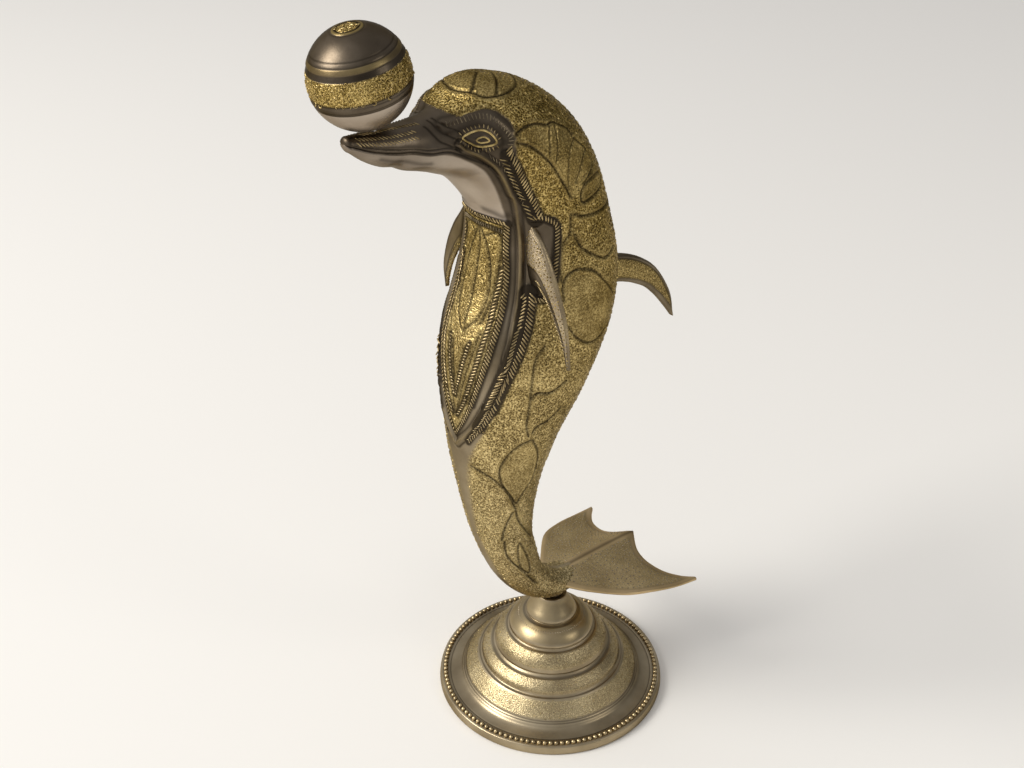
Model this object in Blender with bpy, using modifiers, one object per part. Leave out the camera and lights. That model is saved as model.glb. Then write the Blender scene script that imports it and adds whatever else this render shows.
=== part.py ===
"""Engraved brass dolphin balancing a ball on its beak, standing on a stepped round foot.

Lengths are in metres and +Z is up. The dolphin faces -Y and its own left is +X, so X = 0 is its
mirror plane. The drawings below are side views in millimetres: forward is the distance in front of
the foot's axis, and height is counted from the top of the foot.
"""

import math

import bmesh
import bpy
from mathutils import Matrix, Vector
from mathutils.bvhtree import BVHTree

MM = 0.001

# Foot, a turned and stepped dish that is hollow below
FOOT_RADIUS = 75 * MM
FOOT_HEIGHT = 71.5 * MM
FOOT_WALL = 3.2 * MM
FOOT_SEAT_DEPTH = 21.5 * MM
FOOT_SEAT_RADIUS = 13 * MM
BEAD_RADIUS = 1.8 * MM

# Fixing of the body on the foot
CLEARANCE = 0.3 * MM
STUD_RADIUS = 4 * MM
STUD_IN_BODY = 14 * MM
STUD_BELOW_NUT = 3 * MM
BOSS_RADIUS = 8 * MM
BOSS_HEIGHT = 8 * MM
WASHER_RADIUS = 10 * MM
WASHER_THICKNESS = 1.5 * MM
NUT_ACROSS_FLATS = 13 * MM
NUT_HEIGHT = 6.5 * MM

# Body, from the top of the foot to the top of the head
BODY_HEIGHT = 359 * MM
FLUKE_THICKNESS = 6 * MM

# Fins, each let into a pocket of the body
FIN_THICKNESS = 7 * MM
FLIPPER_THICKNESS = 5.5 * MM

# A blade's section: share of the chord, then share of half the thickness. A short chord near the
# tip is thinner, by its share of the longest chord to the power of the thinning
BLADE_SECTION = [(0, 0.35), (0.12, 0.8), (0.45, 1), (0.8, 0.75), (1, 0.3)]
BLADE_THINNING = 0.4
BLADE_SMALLEST_SHARE = 0.15

# Ball and the pin that holds it a little above the beak
BALL_RADIUS = 25 * MM
BALL_FORWARD = 124.5 * MM
BALL_LIFT = 1.7 * MM
BALL_LEAN = math.radians(12)
BALL_GROOVE_DEPTH = 0.6 * MM
BALL_GROOVE_SLOPE = 0.8
PIN_RADIUS = 2 * MM
PIN_IN_BALL = 10 * MM
PIN_IN_BEAK = 6 * MM

# Carved lines that stand proud of the body
ROPE_WIDTH = 3.2 * MM
ROPE_HEIGHT = 0.9 * MM
DOUBLE_ROPE_WIDTH = 8 * MM
RIDGE_WIDTH = 5 * MM
RIDGE_HEIGHT = 1.6 * MM
LEAF_WIDTH = 2.2 * MM
LEAF_HEIGHT = 0.8 * MM
EYE_LINE_WIDTH = 1.8 * MM
LINE_ROOT = 0.9 * MM
LINE_CREST_SHARE = 0.44
DOUBLE_ROPE_CREST_SHARE = 0.3
LINE_STEP = 10 * MM
LINE_LEAST_SPANS = 3

# Fineness of the meshes
MERGE_DISTANCE = 0.002 * MM
FOOT_STEPS_ROUND = 36
WASHER_STEPS_ROUND = 32
ROD_SIDES = 20
BALL_STEPS_ROUND = 24
BALL_ARC_STEP = 12
RIB_POINTS = 28
RIBS_BETWEEN = 2

# The foot's drawing: radius and height of its upper side, for a foot of 75 by 71.5
FOOT_DRAWN = (75, 71.5)
FOOT_OUTLINE = [
    (9.5, 71.5),
    (11, 68),
    (13.4, 64),
    (15.7, 60.5),
    (16.7, 58),
    (16, 56.8),
    (19, 56.2),
    (24, 53),
    (27.5, 48.5),
    (28, 45.5),
    (31, 44.4),
    (35, 40),
    (37.3, 34.5),
    (37.3, 32.6),
    (41, 30.5),
    (45, 26.5),
    (46.3, 22.8),
    (49, 21.7),
    (56, 13.6),
    (58.5, 10.8),
    (61, 8.2),
    (67, 6.4),
    (73.2, 6.4),
    (74.5, 5),
    (75, 1.4),
    (74.3, 0),
]
BEAD_RING = (71, 6.4)

# The body's ribs from the tail's end to the beak's tip, for a body of 359:
# forward and height of the rib's back end, then of its belly end, then half of its width
BODY_DRAWN_HEIGHT = 359
BODY_RIBS = [
    ((-22, 14.5), (-22, 6.5), 11),
    ((-6, 17.5), (-8, 3), 12.5),
    ((5, 24.5), (10, 3.5), 13.5),
    ((14, 36.5), (29, 15.5), 14),
    ((19, 53.5), (47, 39.5), 16),
    ((24, 77.5), (61, 74.5), 19),
    ((20, 111.5), (69, 108.5), 24),
    ((9, 145.5), (74, 142.5), 32),
    ((-10, 178.5), (74.8, 176.5), 40),
    ((-27, 212.5), (72.2, 210.5), 43),
    ((-31, 243.5), (61, 242.5), 41),
    ((-25, 274.5), (56, 271.5), 36),
    ((-14, 306.5), (59, 287.5), 34),
    ((3, 331.5), (68.5, 301.5), 34),
    ((26, 349.5), (79, 311.5), 32),
    ((50, 358.5), (90.5, 317), 27),
    ((64.5, 358.5), (98, 319.5), 21),
    ((81, 347.5), (105, 321.5), 15),
    ((94, 345), (111, 324.5), 11.5),
    ((107, 344.5), (118, 326.5), 10),
    ((121, 344.5), (126, 331), 8),
    ((133, 345), (133.5, 337), 4.5),
]

# The fluke from the mirror plane to its left tip: forward, side and height of the leading edge,
# then the same of the trailing edge
FLUKE_RIBS = [
    ((8, 0, 14), (-74, 0, 12.5)),
    ((0, 12, 12), (-66.5, 11, 8.5)),
    ((-11, 24, 9.5), (-65, 19, 5.5)),
    ((-28, 40, 8), (-66.5, 27, 3)),
    ((-46, 46.5, 5), (-70, 35.5, 1)),
    ((-65, 50, 1), (-76, 43, -0.5)),
    ((-83, 51.5, -1.5), (-82.5, 49, -1.5)),
]

# The dorsal fin: upper edge and lower edge, from inside the body to the tip
DORSAL_RIBS = [
    ((-22, 0, 234), (-22, 0, 214)),
    ((-42, 0, 231), (-43, 0, 212.5)),
    ((-54, 0, 227.5), (-53.5, 0, 209.5)),
    ((-66, 0, 221.5), (-62, 0, 205.5)),
    ((-77, 0, 213), (-71, 0, 200)),
    ((-86, 0, 201.5), (-80, 0, 191.5)),
    ((-93, 0, 188.5), (-88.5, 0, 181.5)),
    ((-97, 0, 172), (-95.5, 0, 172.5)),
]

# The left flipper: outer edge and inner edge, from inside the body to the tip
FLIPPER_RIBS = [
    ((41, 20, 288), (43, 24, 249)),
    ((42, 28, 281), (45, 35, 251)),
    ((42, 34, 275.5), (45, 38, 249.5)),
    ((42, 40, 266.5), (44.5, 41, 246)),
    ((41.5, 45, 255), (43.5, 44, 239.5)),
    ((41, 50, 242), (43, 48, 231)),
    ((41, 53.5, 229), (42.5, 52, 222)),
    ((41.5, 56, 209.5), (41.5, 54.5, 210)),
]

# The right flipper, which is bent closer to the body
RIGHT_FLIPPER_RIBS = [
    ((41, -18, 293), (43, -21.5, 254)),
    ((42, -24, 285.5), (45, -27, 252.5)),
    ((42, -28, 279), (45, -29.5, 251.5)),
    ((42, -33, 271.5), (44.5, -32.5, 249.5)),
    ((41.5, -40.5, 261.5), (43.5, -36.5, 244.5)),
    ((41, -47.5, 248), (43, -41.5, 236)),
    ((41, -51.5, 232), (42.5, -45.5, 226)),
    ((41.5, -49.5, 218.5), (41.5, -48, 219)),
]

# Carved lines of the left side. Each mark is a place on the skin: the number of the rib, and the
# degrees round it from the back (0) by the left side (90) to the belly (180)
RIDGE = [
    (15.9, 102), (15.48, 108.5), (14.75, 113.5), (14.15, 120), (13.5, 127), (12.8, 133),
    (12.59, 133.5), (11.64, 140), (10.75, 141.5), (10.15, 141.5), (9.66, 141), (9.19, 140),
    (8.6, 143), (8.1, 151), (7.6, 162), (7.3, 175),
]
LIP = [(20.5, 97), (19.8, 97), (18.8, 98), (17.3, 102), (16, 112.5), (15.2, 118), (14.3, 123)]
BROW = [(17, 50), (16.6, 60), (16.2, 66.5), (15.7, 68.5), (15.2, 71), (14.8, 78), (14.45, 87)]
EYE = [
    (16, 93.5), (15.75, 87.5), (15.36, 85), (15, 88), (14.7, 95), (14.8, 100), (15.1, 103),
    (15.55, 100.5),
]
IRIS = [(15.37, 96), (15.17, 92), (14.9, 95.5), (15.15, 99)]
EYE_ROPE = [(14.2, 106), (13.7, 114), (13.2, 120), (12.7, 123.5), (12.1, 125), (11.75, 125)]
FIN_BOX = [
    (11.76, 121), (11.59, 115), (11.41, 111), (11.1, 112.5), (10.73, 115), (10.38, 117),
    (10.1, 119.5), (9.99, 124.5), (10.01, 131),
]
SIDE_ROPE = [
    (10.11, 135), (9.76, 134.5), (9.38, 134), (8.99, 136), (8.6, 140.5), (8.1, 147), (7.7, 154.5),
    (7.35, 165),
]
PANEL_TOP = [(11.66, 150), (11.82, 165)]
PANEL_TOP_INNER = [(11.34, 154), (11.46, 169)]
PANEL_EDGE = [
    (11.66, 149.5), (10.95, 153), (10.44, 152), (9.94, 151.5), (9.46, 151.5), (8.99, 153),
    (8.6, 156.5), (8.1, 163), (7.7, 171), (7.35, 182),
]
PANEL_LEAF = [(11.1, 177.5), (10.8, 174), (10.3, 169), (9.9, 167.5), (9.5, 170.5), (9.3, 177)]
PANEL_STRIP = [(9.27, 160), (8.99, 165), (8.6, 170), (8.2, 176)]
BIG_LEAF = [
    (14.17, 96), (14.3, 83.5), (14.3, 71.5), (13.96, 64.5), (13.6, 62), (13.25, 67.5),
    (13.01, 76), (12.71, 89.5),
]
BIG_LEAF_RIB = [(13.92, 94), (13.53, 95.5), (12.77, 96), (12.31, 95), (11.67, 92.5)]
HEAD_FLOWER = [
    (16.42, 8), (16.3, 22), (16.1, 34), (15.7, 45), (15.25, 46.5), (14.85, 40.5), (14.55, 26),
    (14.4, 8),
]
BACK_LEAF = [(12.8, 60), (12.49, 46), (11.99, 39), (11.62, 51.5), (11.64, 69.5), (11.98, 84)]
S_CURVE = [(11.56, 92), (11, 90), (10.65, 82.5), (10.46, 72)]
ROUND_LEAF = [
    (9.35, 102.5), (9.74, 109.5), (10.03, 111), (10.24, 106.5), (10.34, 97), (10.3, 87),
    (10.11, 75), (9.77, 65),
]
ROUND_LEAF_LOW = [(9.49, 107), (9.15, 92.5), (8.95, 76), (9.05, 58)]
TEARDROP = [(7.45, 105), (6.96, 91), (6.6, 84), (6.3, 93), (6.55, 108), (6.95, 117)]
STEM = [(6.95, 152), (6.68, 136), (6.32, 117), (5.84, 96), (5.4, 76)]
STEM_LOW = [(5.25, 58), (5.64, 74), (5.75, 90), (5.55, 107), (5.1, 118)]

# The ball's turned grooves: degrees from its upper pole where each begins and ends
BALL_GROOVES = [(12.5, 14.5), (18, 20), (63.5, 70.5), (97.5, 100)]


def clear_scene():
    """Empties the file before the model is made."""
    for old in list(bpy.data.objects):
        bpy.data.objects.remove(old, do_unlink=True)


def make_collection(name):
    """Adds a collection to the scene."""
    collection = bpy.data.collections.new(name)
    bpy.context.scene.collection.children.link(collection)
    return collection


def make_metal(name, colour, roughness):
    """A plain metal material."""
    material = bpy.data.materials.new(name)
    material.use_nodes = True
    shader = material.node_tree.nodes["Principled BSDF"]
    shader.inputs["Base Color"].default_value = (*colour, 1)
    shader.inputs["Metallic"].default_value = 1
    shader.inputs["Roughness"].default_value = roughness
    return material


clear_scene()
PARTS = make_collection("dolphin_with_ball")
CUTTERS = make_collection("cutters")
ENGRAVED_BRASS = make_metal("engraved_brass", (0.36, 0.28, 0.13), 0.4)
SMOOTH_BRASS = make_metal("smooth_dark_brass", (0.2, 0.17, 0.13), 0.32)
STEEL = make_metal("plated_steel", (0.55, 0.54, 0.5), 0.35)

BODY_SCALE = BODY_HEIGHT / BODY_DRAWN_HEIGHT


def place(forward, side, height):
    """The point of space for a point of the body's drawing."""
    return Vector((side, -forward, height)) * BODY_SCALE + Vector((0, 0, FOOT_HEIGHT))


def curve_through(values, per_span, closed=False):
    """Samples of a smooth curve through a list of vectors, with per_span steps between two."""
    if closed:
        padded = [values[-1], *values, values[0], values[1]]
    else:
        padded = [values[0] * 2 - values[1], *values, values[-1] * 2 - values[-2]]
    samples = []
    for a, b, c, d in zip(padded, padded[1:], padded[2:], padded[3:]):
        for step in range(per_span):
            t = step / per_span
            bend = (2 * a - 5 * b + 4 * c - d) * t * t + (3 * b - a - 3 * c + d) * t * t * t
            samples.append(0.5 * (2 * b + (c - a) * t + bend))
    if not closed:
        samples.append(values[-1].copy())
    return samples


def finish_mesh(obj, material):
    """Gives an object its material and smooth shading with sharp edges."""
    obj.data.materials.clear()
    obj.data.materials.append(material)
    obj.data.shade_smooth()
    obj.data.set_sharp_from_angle(angle=math.radians(40))


def object_from(name, bm, material, collection):
    """Links a bmesh as an object of flat triangles, with its faces turned outwards."""
    bmesh.ops.triangulate(bm, faces=bm.faces)
    bmesh.ops.recalc_face_normals(bm, faces=bm.faces)
    mesh = bpy.data.meshes.new(name)
    bm.to_mesh(mesh)
    bm.free()
    obj = bpy.data.objects.new(name, mesh)
    collection.objects.link(obj)
    finish_mesh(obj, material)
    if collection is CUTTERS:
        obj.hide_render = True
        obj.display_type = "WIRE"
    return obj


def loft(name, rings, material=ENGRAVED_BRASS, collection=CUTTERS, closed=False):
    """Joins rings of points into one closed skin, a tube with fans at its ends or a closed loop."""
    bm = bmesh.new()
    made = [[bm.verts.new(point) for point in ring] for ring in rings]
    count = len(rings[0])
    pairs = list(zip(made, made[1:]))
    if closed:
        pairs.append((made[-1], made[0]))
    for lower, upper in pairs:
        for k in range(count):
            following = (k + 1) % count
            bm.faces.new((lower[k], lower[following], upper[following], upper[k]))
    if not closed:
        for ring in (made[0], made[-1]):
            tip = bm.verts.new(sum((v.co for v in ring), Vector()) / count)
            for k in range(count):
                bm.faces.new((ring[k], ring[(k + 1) % count], tip))
    return object_from(name, bm, material, collection)


def combine(target, others, operation):
    """Applies one exact Boolean of the other objects to target, and removes them."""
    tools = bpy.data.collections.new("tools")
    for other in others:
        tools.objects.link(other)
    modifier = target.modifiers.new("combine", "BOOLEAN")
    modifier.operation = operation
    modifier.operand_type = "COLLECTION"
    modifier.collection = tools
    modifier.solver = "EXACT"
    graph = bpy.context.evaluated_depsgraph_get()
    mesh = bpy.data.meshes.new_from_object(target.evaluated_get(graph))
    target.modifiers.clear()
    material = target.data.materials[0]
    target.data = mesh
    bpy.data.collections.remove(tools)
    for other in others:
        bpy.data.objects.remove(other)
    bm = bmesh.new()
    bm.from_mesh(mesh)
    bmesh.ops.remove_doubles(bm, verts=bm.verts, dist=MERGE_DISTANCE)
    bmesh.ops.triangulate(bm, faces=bm.faces)
    bm.to_mesh(mesh)
    bm.free()
    finish_mesh(target, material)


def turned(name, outline, steps, material, collection=PARTS):
    """Turns an outline of (radius, height) points about Z with a Screw modifier.

    The outline runs down the outer side. It is closed by itself unless both ends are on the axis.
    """
    points = [(radius, 0, height) for radius, height in outline]
    edges = [(k, k + 1) for k in range(len(points) - 1)]
    if outline[0][0] > 0 or outline[-1][0] > 0:
        edges.append((len(points) - 1, 0))
    mesh = bpy.data.meshes.new(name)
    mesh.from_pydata(points, edges, [])
    profile = bpy.data.objects.new(name + "_profile", mesh)
    CUTTERS.objects.link(profile)
    screw = profile.modifiers.new("turn", "SCREW")
    screw.axis = "Z"
    screw.angle = math.tau
    screw.steps = screw.render_steps = round(steps)
    screw.use_merge_vertices = True
    screw.merge_threshold = 0.00001
    graph = bpy.context.evaluated_depsgraph_get()
    solid = bpy.data.meshes.new_from_object(profile.evaluated_get(graph))
    bpy.data.objects.remove(profile)
    bm = bmesh.new()
    bm.from_mesh(solid)
    bpy.data.meshes.remove(solid)
    return object_from(name, bm, material, collection)


def rod(name, radius, start, end, sides, material, collection=PARTS):
    """A cylinder or prism between two points."""
    bm = bmesh.new()
    along = end - start
    turn = along.to_track_quat("Z", "Y").to_matrix().to_4x4()
    bmesh.ops.create_cone(
        bm,
        cap_ends=True,
        segments=sides,
        radius1=radius,
        radius2=radius,
        depth=along.length,
        matrix=Matrix.Translation((start + end) / 2) @ turn,
    )
    return object_from(name, bm, material, collection)


def up(height):
    """A point of the foot's axis."""
    return Vector((0, 0, height))


def foot_point(drawn):
    """Radius and height in metres of a point of the foot's drawing."""
    return drawn[0] / FOOT_DRAWN[0] * FOOT_RADIUS, drawn[1] / FOOT_DRAWN[1] * FOOT_HEIGHT


def foot_hollow(outline, seat):
    """The hollow's outline from the standing ring to the seat: the upper side less the wall."""
    points = []
    for radius, height in reversed(outline[::3]):
        if radius - FOOT_WALL > FOOT_SEAT_RADIUS and FOOT_WALL / 2 < height - FOOT_WALL < seat:
            points.append((radius - FOOT_WALL, height - FOOT_WALL))
    return [(points[0][0], 0), *points, (FOOT_SEAT_RADIUS, seat)]


def make_bead_ring():
    """The ring of beads along the rim, as one ring that swells at each bead."""
    ring_radius, ring_height = foot_point(BEAD_RING)
    beads = round(math.tau * ring_radius / (2.25 * BEAD_RADIUS))
    rings = []
    for step in range(2 * beads):
        size = BEAD_RADIUS * (1 if step % 2 else 0.6)
        out = Matrix.Rotation(math.tau * step / (2 * beads), 3, "Z") @ Vector((1, 0, 0))
        ring = []
        for corner in range(3):
            turn = math.tau * (corner / 3 + 0.25)
            reach = ring_radius + size * math.cos(turn)
            ring.append(out * reach + up(ring_height + size * math.sin(turn)))
        rings.append(ring)
    return loft("bead_ring", rings, closed=True)


def make_foot():
    """The stepped foot with its beaded rim, hollow below and bored for the stud."""
    outline = [foot_point(drawn) for drawn in FOOT_OUTLINE]
    bore = STUD_RADIUS + CLEARANCE
    seat = FOOT_HEIGHT - FOOT_SEAT_DEPTH
    inside = foot_hollow(outline, seat) + [(bore, seat), (bore, FOOT_HEIGHT)]
    foot = turned("foot", outline + inside, FOOT_STEPS_ROUND, SMOOTH_BRASS)
    combine(foot, [make_bead_ring()], "UNION")


def make_fixing():
    """The stud that holds the body on the foot, with its washer and nut in the foot's hollow."""
    seat = FOOT_HEIGHT - FOOT_SEAT_DEPTH
    bore = STUD_RADIUS + CLEARANCE
    washer_top = seat - CLEARANCE
    washer_bottom = washer_top - WASHER_THICKNESS
    nut_top = washer_bottom - CLEARANCE
    nut_bottom = nut_top - NUT_HEIGHT
    ring = [
        (WASHER_RADIUS, washer_top), (WASHER_RADIUS, washer_bottom), (bore, washer_bottom),
        (bore, washer_top),
    ]
    turned("washer", ring, WASHER_STEPS_ROUND, STEEL)
    nut_radius = NUT_ACROSS_FLATS / 2 / math.cos(math.pi / 6)
    nut = rod("nut", nut_radius, up(nut_bottom), up(nut_top), 6, STEEL)
    hole_start, hole_end = up(nut_bottom - NUT_HEIGHT), up(nut_top + NUT_HEIGHT)
    hole = rod("nut_hole", bore, hole_start, hole_end, ROD_SIDES, STEEL, CUTTERS)
    combine(nut, [hole], "DIFFERENCE")
    stud_bottom = up(nut_bottom - STUD_BELOW_NUT)
    rod("foot_stud", STUD_RADIUS, stud_bottom, up(FOOT_HEIGHT + STUD_IN_BODY), ROD_SIDES, STEEL)


RIB_ROWS = [Vector((*back, *belly, half)) for back, belly, half in BODY_RIBS]


def rib_at(number):
    """The rib at any number between two of the table, on a smooth curve through them."""
    number = min(max(number, 0), len(RIB_ROWS) - 1.001)
    first = int(number)
    padded = [RIB_ROWS[0] * 2 - RIB_ROWS[1], *RIB_ROWS, RIB_ROWS[-1] * 2 - RIB_ROWS[-2]]
    a, b, c, d = padded[first : first + 4]
    t = number - first
    bend = (2 * a - 5 * b + 4 * c - d) * t * t + (3 * b - a - 3 * c + d) * t * t * t
    return 0.5 * (2 * b + (c - a) * t + bend)


def rib_point(rib, degrees):
    """The point of a rib at some degrees round it."""
    turn = math.radians(degrees)
    swing = (1 + math.cos(turn)) / 2
    forward = rib[2] + (rib[0] - rib[2]) * swing
    height = rib[3] + (rib[1] - rib[3]) * swing
    return place(forward, rib[4] * math.sin(turn), height)


def on_skin(number, degrees):
    """The point and the outward direction of the body's skin at a mark."""
    here = rib_point(rib_at(number), degrees)
    along = rib_point(rib_at(number + 0.02), degrees) - rib_point(rib_at(number - 0.02), degrees)
    around = rib_point(rib_at(number), degrees + 1) - rib_point(rib_at(number), degrees - 1)
    outward = along.cross(around).normalized()
    middle = (rib_point(rib_at(number), 0) + rib_point(rib_at(number), 180)) / 2
    if outward.dot(here - middle) < 0:
        outward.negate()
    return here, outward


def make_trunk():
    """The dolphin's body without its fluke, a loft through the ribs."""
    rings = []
    for rib in curve_through(RIB_ROWS, RIBS_BETWEEN):
        rings.append([rib_point(rib, 360 * k / RIB_POINTS) for k in range(RIB_POINTS)])
    return loft("body", rings, collection=PARTS)


def make_blade(name, ribs, thickness, across, grow=0.0, collection=CUTTERS, both_sides=False):
    """A fin lofted from chords between its leading and its trailing edge, with a rounded section.

    The chords thin out towards the tip. With grow, it is larger all round by that much.
    """
    edges = [(Vector(lead), Vector(trail)) for lead, trail in ribs]
    rows = curve_through([Vector((*lead, *trail)) for lead, trail in edges], 2)
    if both_sides:
        other_half = [Vector((r[0], -r[1], r[2], r[3], -r[4], r[5])) for r in reversed(rows[1:])]
        rows = other_half + rows
    longest = max((Vector(row[:3]) - Vector(row[3:])).length for row in rows)
    rings = []
    for row in rows:
        lead, trail = place(*row[:3]), place(*row[3:])
        share = (Vector(row[:3]) - Vector(row[3:])).length / longest
        half = thickness / 2 * max(share, BLADE_SMALLEST_SHARE) ** BLADE_THINNING + grow
        chord = (trail - lead).normalized() * grow
        lead, trail = lead - chord, trail + chord
        section = [lead.lerp(trail, s) + across * half * t for s, t in BLADE_SECTION]
        section += [lead.lerp(trail, s) - across * half * t for s, t in reversed(BLADE_SECTION)]
        rings.append(section)
    return loft(name, rings, collection=collection)


def evenly_spaced(places, closed):
    """The places of a finely sampled line that lie about LINE_STEP apart, with both its ends."""
    travelled = [0]
    for (before, _), (after, _) in zip(places, places[1:]):
        travelled.append(travelled[-1] + (after - before).length)
    spans = max(LINE_LEAST_SPANS, round(travelled[-1] / LINE_STEP))
    chosen = []
    for k in range(spans if closed else spans + 1):
        target = travelled[-1] * k / spans
        chosen.append(min(range(len(places)), key=lambda n: abs(travelled[n] - target)))
    return [places[n] for n in chosen]


def make_line(marks, width, height, double=False, closed=False):
    """A carved line that follows the skin, with a crest, or with two crests for a double rope."""
    samples = curve_through([Vector(mark) for mark in marks], 6, closed)
    places = evenly_spaced([on_skin(*mark) for mark in samples], closed)
    crests = [(0, height)]
    if width > LEAF_WIDTH:
        crests = [(-LINE_CREST_SHARE / 2, height), (LINE_CREST_SHARE / 2, height)]
    if double:
        crest = DOUBLE_ROPE_CREST_SHARE
        crests = [(-crest, height), (0, 0), (crest, height)]
    section = [(-0.5, -LINE_ROOT), *crests, (0.5, -LINE_ROOT)]
    rings = []
    last = len(places) - 1
    for k, (point, outward) in enumerate(places):
        before = places[k - 1 if closed else max(k - 1, 0)][0]
        after = places[(k + 1) % len(places) if closed else min(k + 1, last)][0]
        sideways = (after - before).cross(outward).normalized()
        rings.append([point + sideways * width * s + outward * h for s, h in section])
    return loft("line", rings, closed=closed)


def mirrored(marks):
    """The same marks on the right side."""
    return [(number, -degrees) for number, degrees in marks]


def carved_lines():
    """Every carved line: those that cross the mirror plane once, the others on both sides."""
    lines = []
    for marks, width, height, closed, round_belly in (
        (HEAD_FLOWER, LEAF_WIDTH, LEAF_HEIGHT, True, False),
        (PANEL_LEAF, LEAF_WIDTH, LEAF_HEIGHT, True, True),
        (PANEL_TOP, ROPE_WIDTH, ROPE_HEIGHT, False, True),
        (PANEL_TOP_INNER, ROPE_WIDTH, ROPE_HEIGHT, False, True),
    ):
        if round_belly:
            both = marks + [(number, 360 - degrees) for number, degrees in reversed(marks)]
        else:
            both = marks[::-1] + mirrored(marks)
        lines.append(make_line(both, width, height, closed=closed))
    for turn in (list, mirrored):
        for marks in (RIDGE, BROW):
            lines.append(make_line(turn(marks), RIDGE_WIDTH, RIDGE_HEIGHT))
        for marks in (EYE, IRIS):
            lines.append(make_line(turn(marks), EYE_LINE_WIDTH, LEAF_HEIGHT, closed=True))
        for marks in (EYE_ROPE, SIDE_ROPE):
            lines.append(make_line(turn(marks), DOUBLE_ROPE_WIDTH, ROPE_HEIGHT, double=True))
        for marks in (LIP, FIN_BOX, PANEL_EDGE):
            lines.append(make_line(turn(marks), ROPE_WIDTH, ROPE_HEIGHT))
        for marks in (
            PANEL_STRIP, BIG_LEAF, BIG_LEAF_RIB, BACK_LEAF, S_CURVE, ROUND_LEAF, ROUND_LEAF_LOW,
            STEM, STEM_LOW,
        ):
            lines.append(make_line(turn(marks), LEAF_WIDTH, LEAF_HEIGHT))
        lines.append(make_line(turn(TEARDROP), LEAF_WIDTH, LEAF_HEIGHT, closed=True))
    return lines


def make_boss():
    """The round boss under the tail, which stands on the foot's neck."""
    bottom = FOOT_HEIGHT + CLEARANCE
    outline = [
        (0, bottom + BOSS_HEIGHT), (BOSS_RADIUS, bottom + BOSS_HEIGHT),
        (BOSS_RADIUS, bottom + BOSS_HEIGHT / 3), (BOSS_RADIUS * 0.75, bottom), (0, bottom),
    ]
    return turned("boss", outline, 24, ENGRAVED_BRASS, CUTTERS)


UPRIGHT = Vector((0, 0, 1))
SIDEWAYS = Vector((1, 0, 0))
FORWARD = Vector((0, -1, 0))


def fins():
    """Name, ribs, thickness and direction of thickness of the three loose fins."""
    return [
        ("dorsal_fin", DORSAL_RIBS, FIN_THICKNESS, SIDEWAYS),
        ("flipper_left", FLIPPER_RIBS, FLIPPER_THICKNESS, FORWARD),
        ("flipper_right", RIGHT_FLIPPER_RIBS, FLIPPER_THICKNESS, FORWARD),
    ]


def ball_axis():
    """The direction of the ball's upper pole, which leans forward."""
    return Matrix.Rotation(BALL_LEAN, 3, "X") @ Vector((0, 0, 1))


def ball_centre(body):
    """The place where the ball clears the beak's top by its lift."""
    bm = bmesh.new()
    bm.from_mesh(body.data)
    tree = BVHTree.FromBMesh(bm)
    bm.free()
    low = FOOT_HEIGHT + BODY_HEIGHT - 2 * BALL_RADIUS
    high = low + 6 * BALL_RADIUS
    for _ in range(40):
        height = (low + high) / 2
        centre = Vector((0, -BALL_FORWARD, height))
        if tree.find_nearest(centre)[3] < BALL_RADIUS + BALL_LIFT:
            low = height
        else:
            high = height
    return Vector((0, -BALL_FORWARD, high))


def ball_outline():
    """Half of the ball's section with its grooves and the bore for the pin."""
    marks = [(0, 0)]
    for start, end in BALL_GROOVES:
        slope = BALL_GROOVE_SLOPE
        marks += [(start, 0), (start + slope, BALL_GROOVE_DEPTH)]
        marks += [(end - slope, BALL_GROOVE_DEPTH), (end, 0)]
    bore = PIN_RADIUS + CLEARANCE
    last = 180 - math.degrees(math.asin(bore / BALL_RADIUS))
    marks.append((last, 0))
    outline = []
    for (here, depth), (following, _) in zip(marks, marks[1:]):
        steps = max(1, round((following - here) / BALL_ARC_STEP))
        for step in range(steps):
            turn = math.radians(here + (following - here) * step / steps)
            radius = BALL_RADIUS - (depth if step == 0 else 0)
            outline.append((radius * math.sin(turn), radius * math.cos(turn)))
    mouth = -BALL_RADIUS * math.cos(math.asin(bore / BALL_RADIUS))
    bore_end = -BALL_RADIUS + PIN_IN_BALL
    return outline + [(bore, mouth), (bore, bore_end), (0, bore_end)]


def make_ball(body):
    """The ball, the pin under it and the pin's bore in the beak."""
    centre = ball_centre(body)
    axis = ball_axis()
    ball = turned("ball", ball_outline(), BALL_STEPS_ROUND, ENGRAVED_BRASS)
    lean = Matrix.Rotation(BALL_LEAN, 4, "X")
    ball.data.transform(Matrix.Translation(centre) @ lean)
    pin_top = centre - axis * (BALL_RADIUS - PIN_IN_BALL + CLEARANCE)
    pin_bottom = centre - axis * (BALL_RADIUS + PIN_IN_BEAK)
    rod("ball_pin", PIN_RADIUS, pin_bottom, pin_top, ROD_SIDES, STEEL)
    bore_end = pin_bottom - axis * CLEARANCE
    bore = rod("pin_bore", PIN_RADIUS + CLEARANCE, bore_end, pin_top, ROD_SIDES, STEEL, CUTTERS)
    combine(body, [bore], "DIFFERENCE")


def make_body():
    """The dolphin with its fluke, boss, stud bore, pockets of the fins and carved lines."""
    body = make_trunk()
    fluke = make_blade("fluke", FLUKE_RIBS, FLUKE_THICKNESS, UPRIGHT, both_sides=True)
    combine(body, [fluke, make_boss()], "UNION")
    bore_top = FOOT_HEIGHT + CLEARANCE + STUD_IN_BODY
    bore = STUD_RADIUS + CLEARANCE
    tools = [rod("stud_bore", bore, up(0), up(bore_top), ROD_SIDES, STEEL, CUTTERS)]
    for name, ribs, thickness, across in fins():
        tools.append(make_blade(name + "_pocket", ribs, thickness, across, CLEARANCE))
        make_blade(name, ribs, thickness, across, collection=PARTS)
    combine(body, carved_lines(), "UNION")
    combine(body, tools, "DIFFERENCE")
    return body


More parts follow.
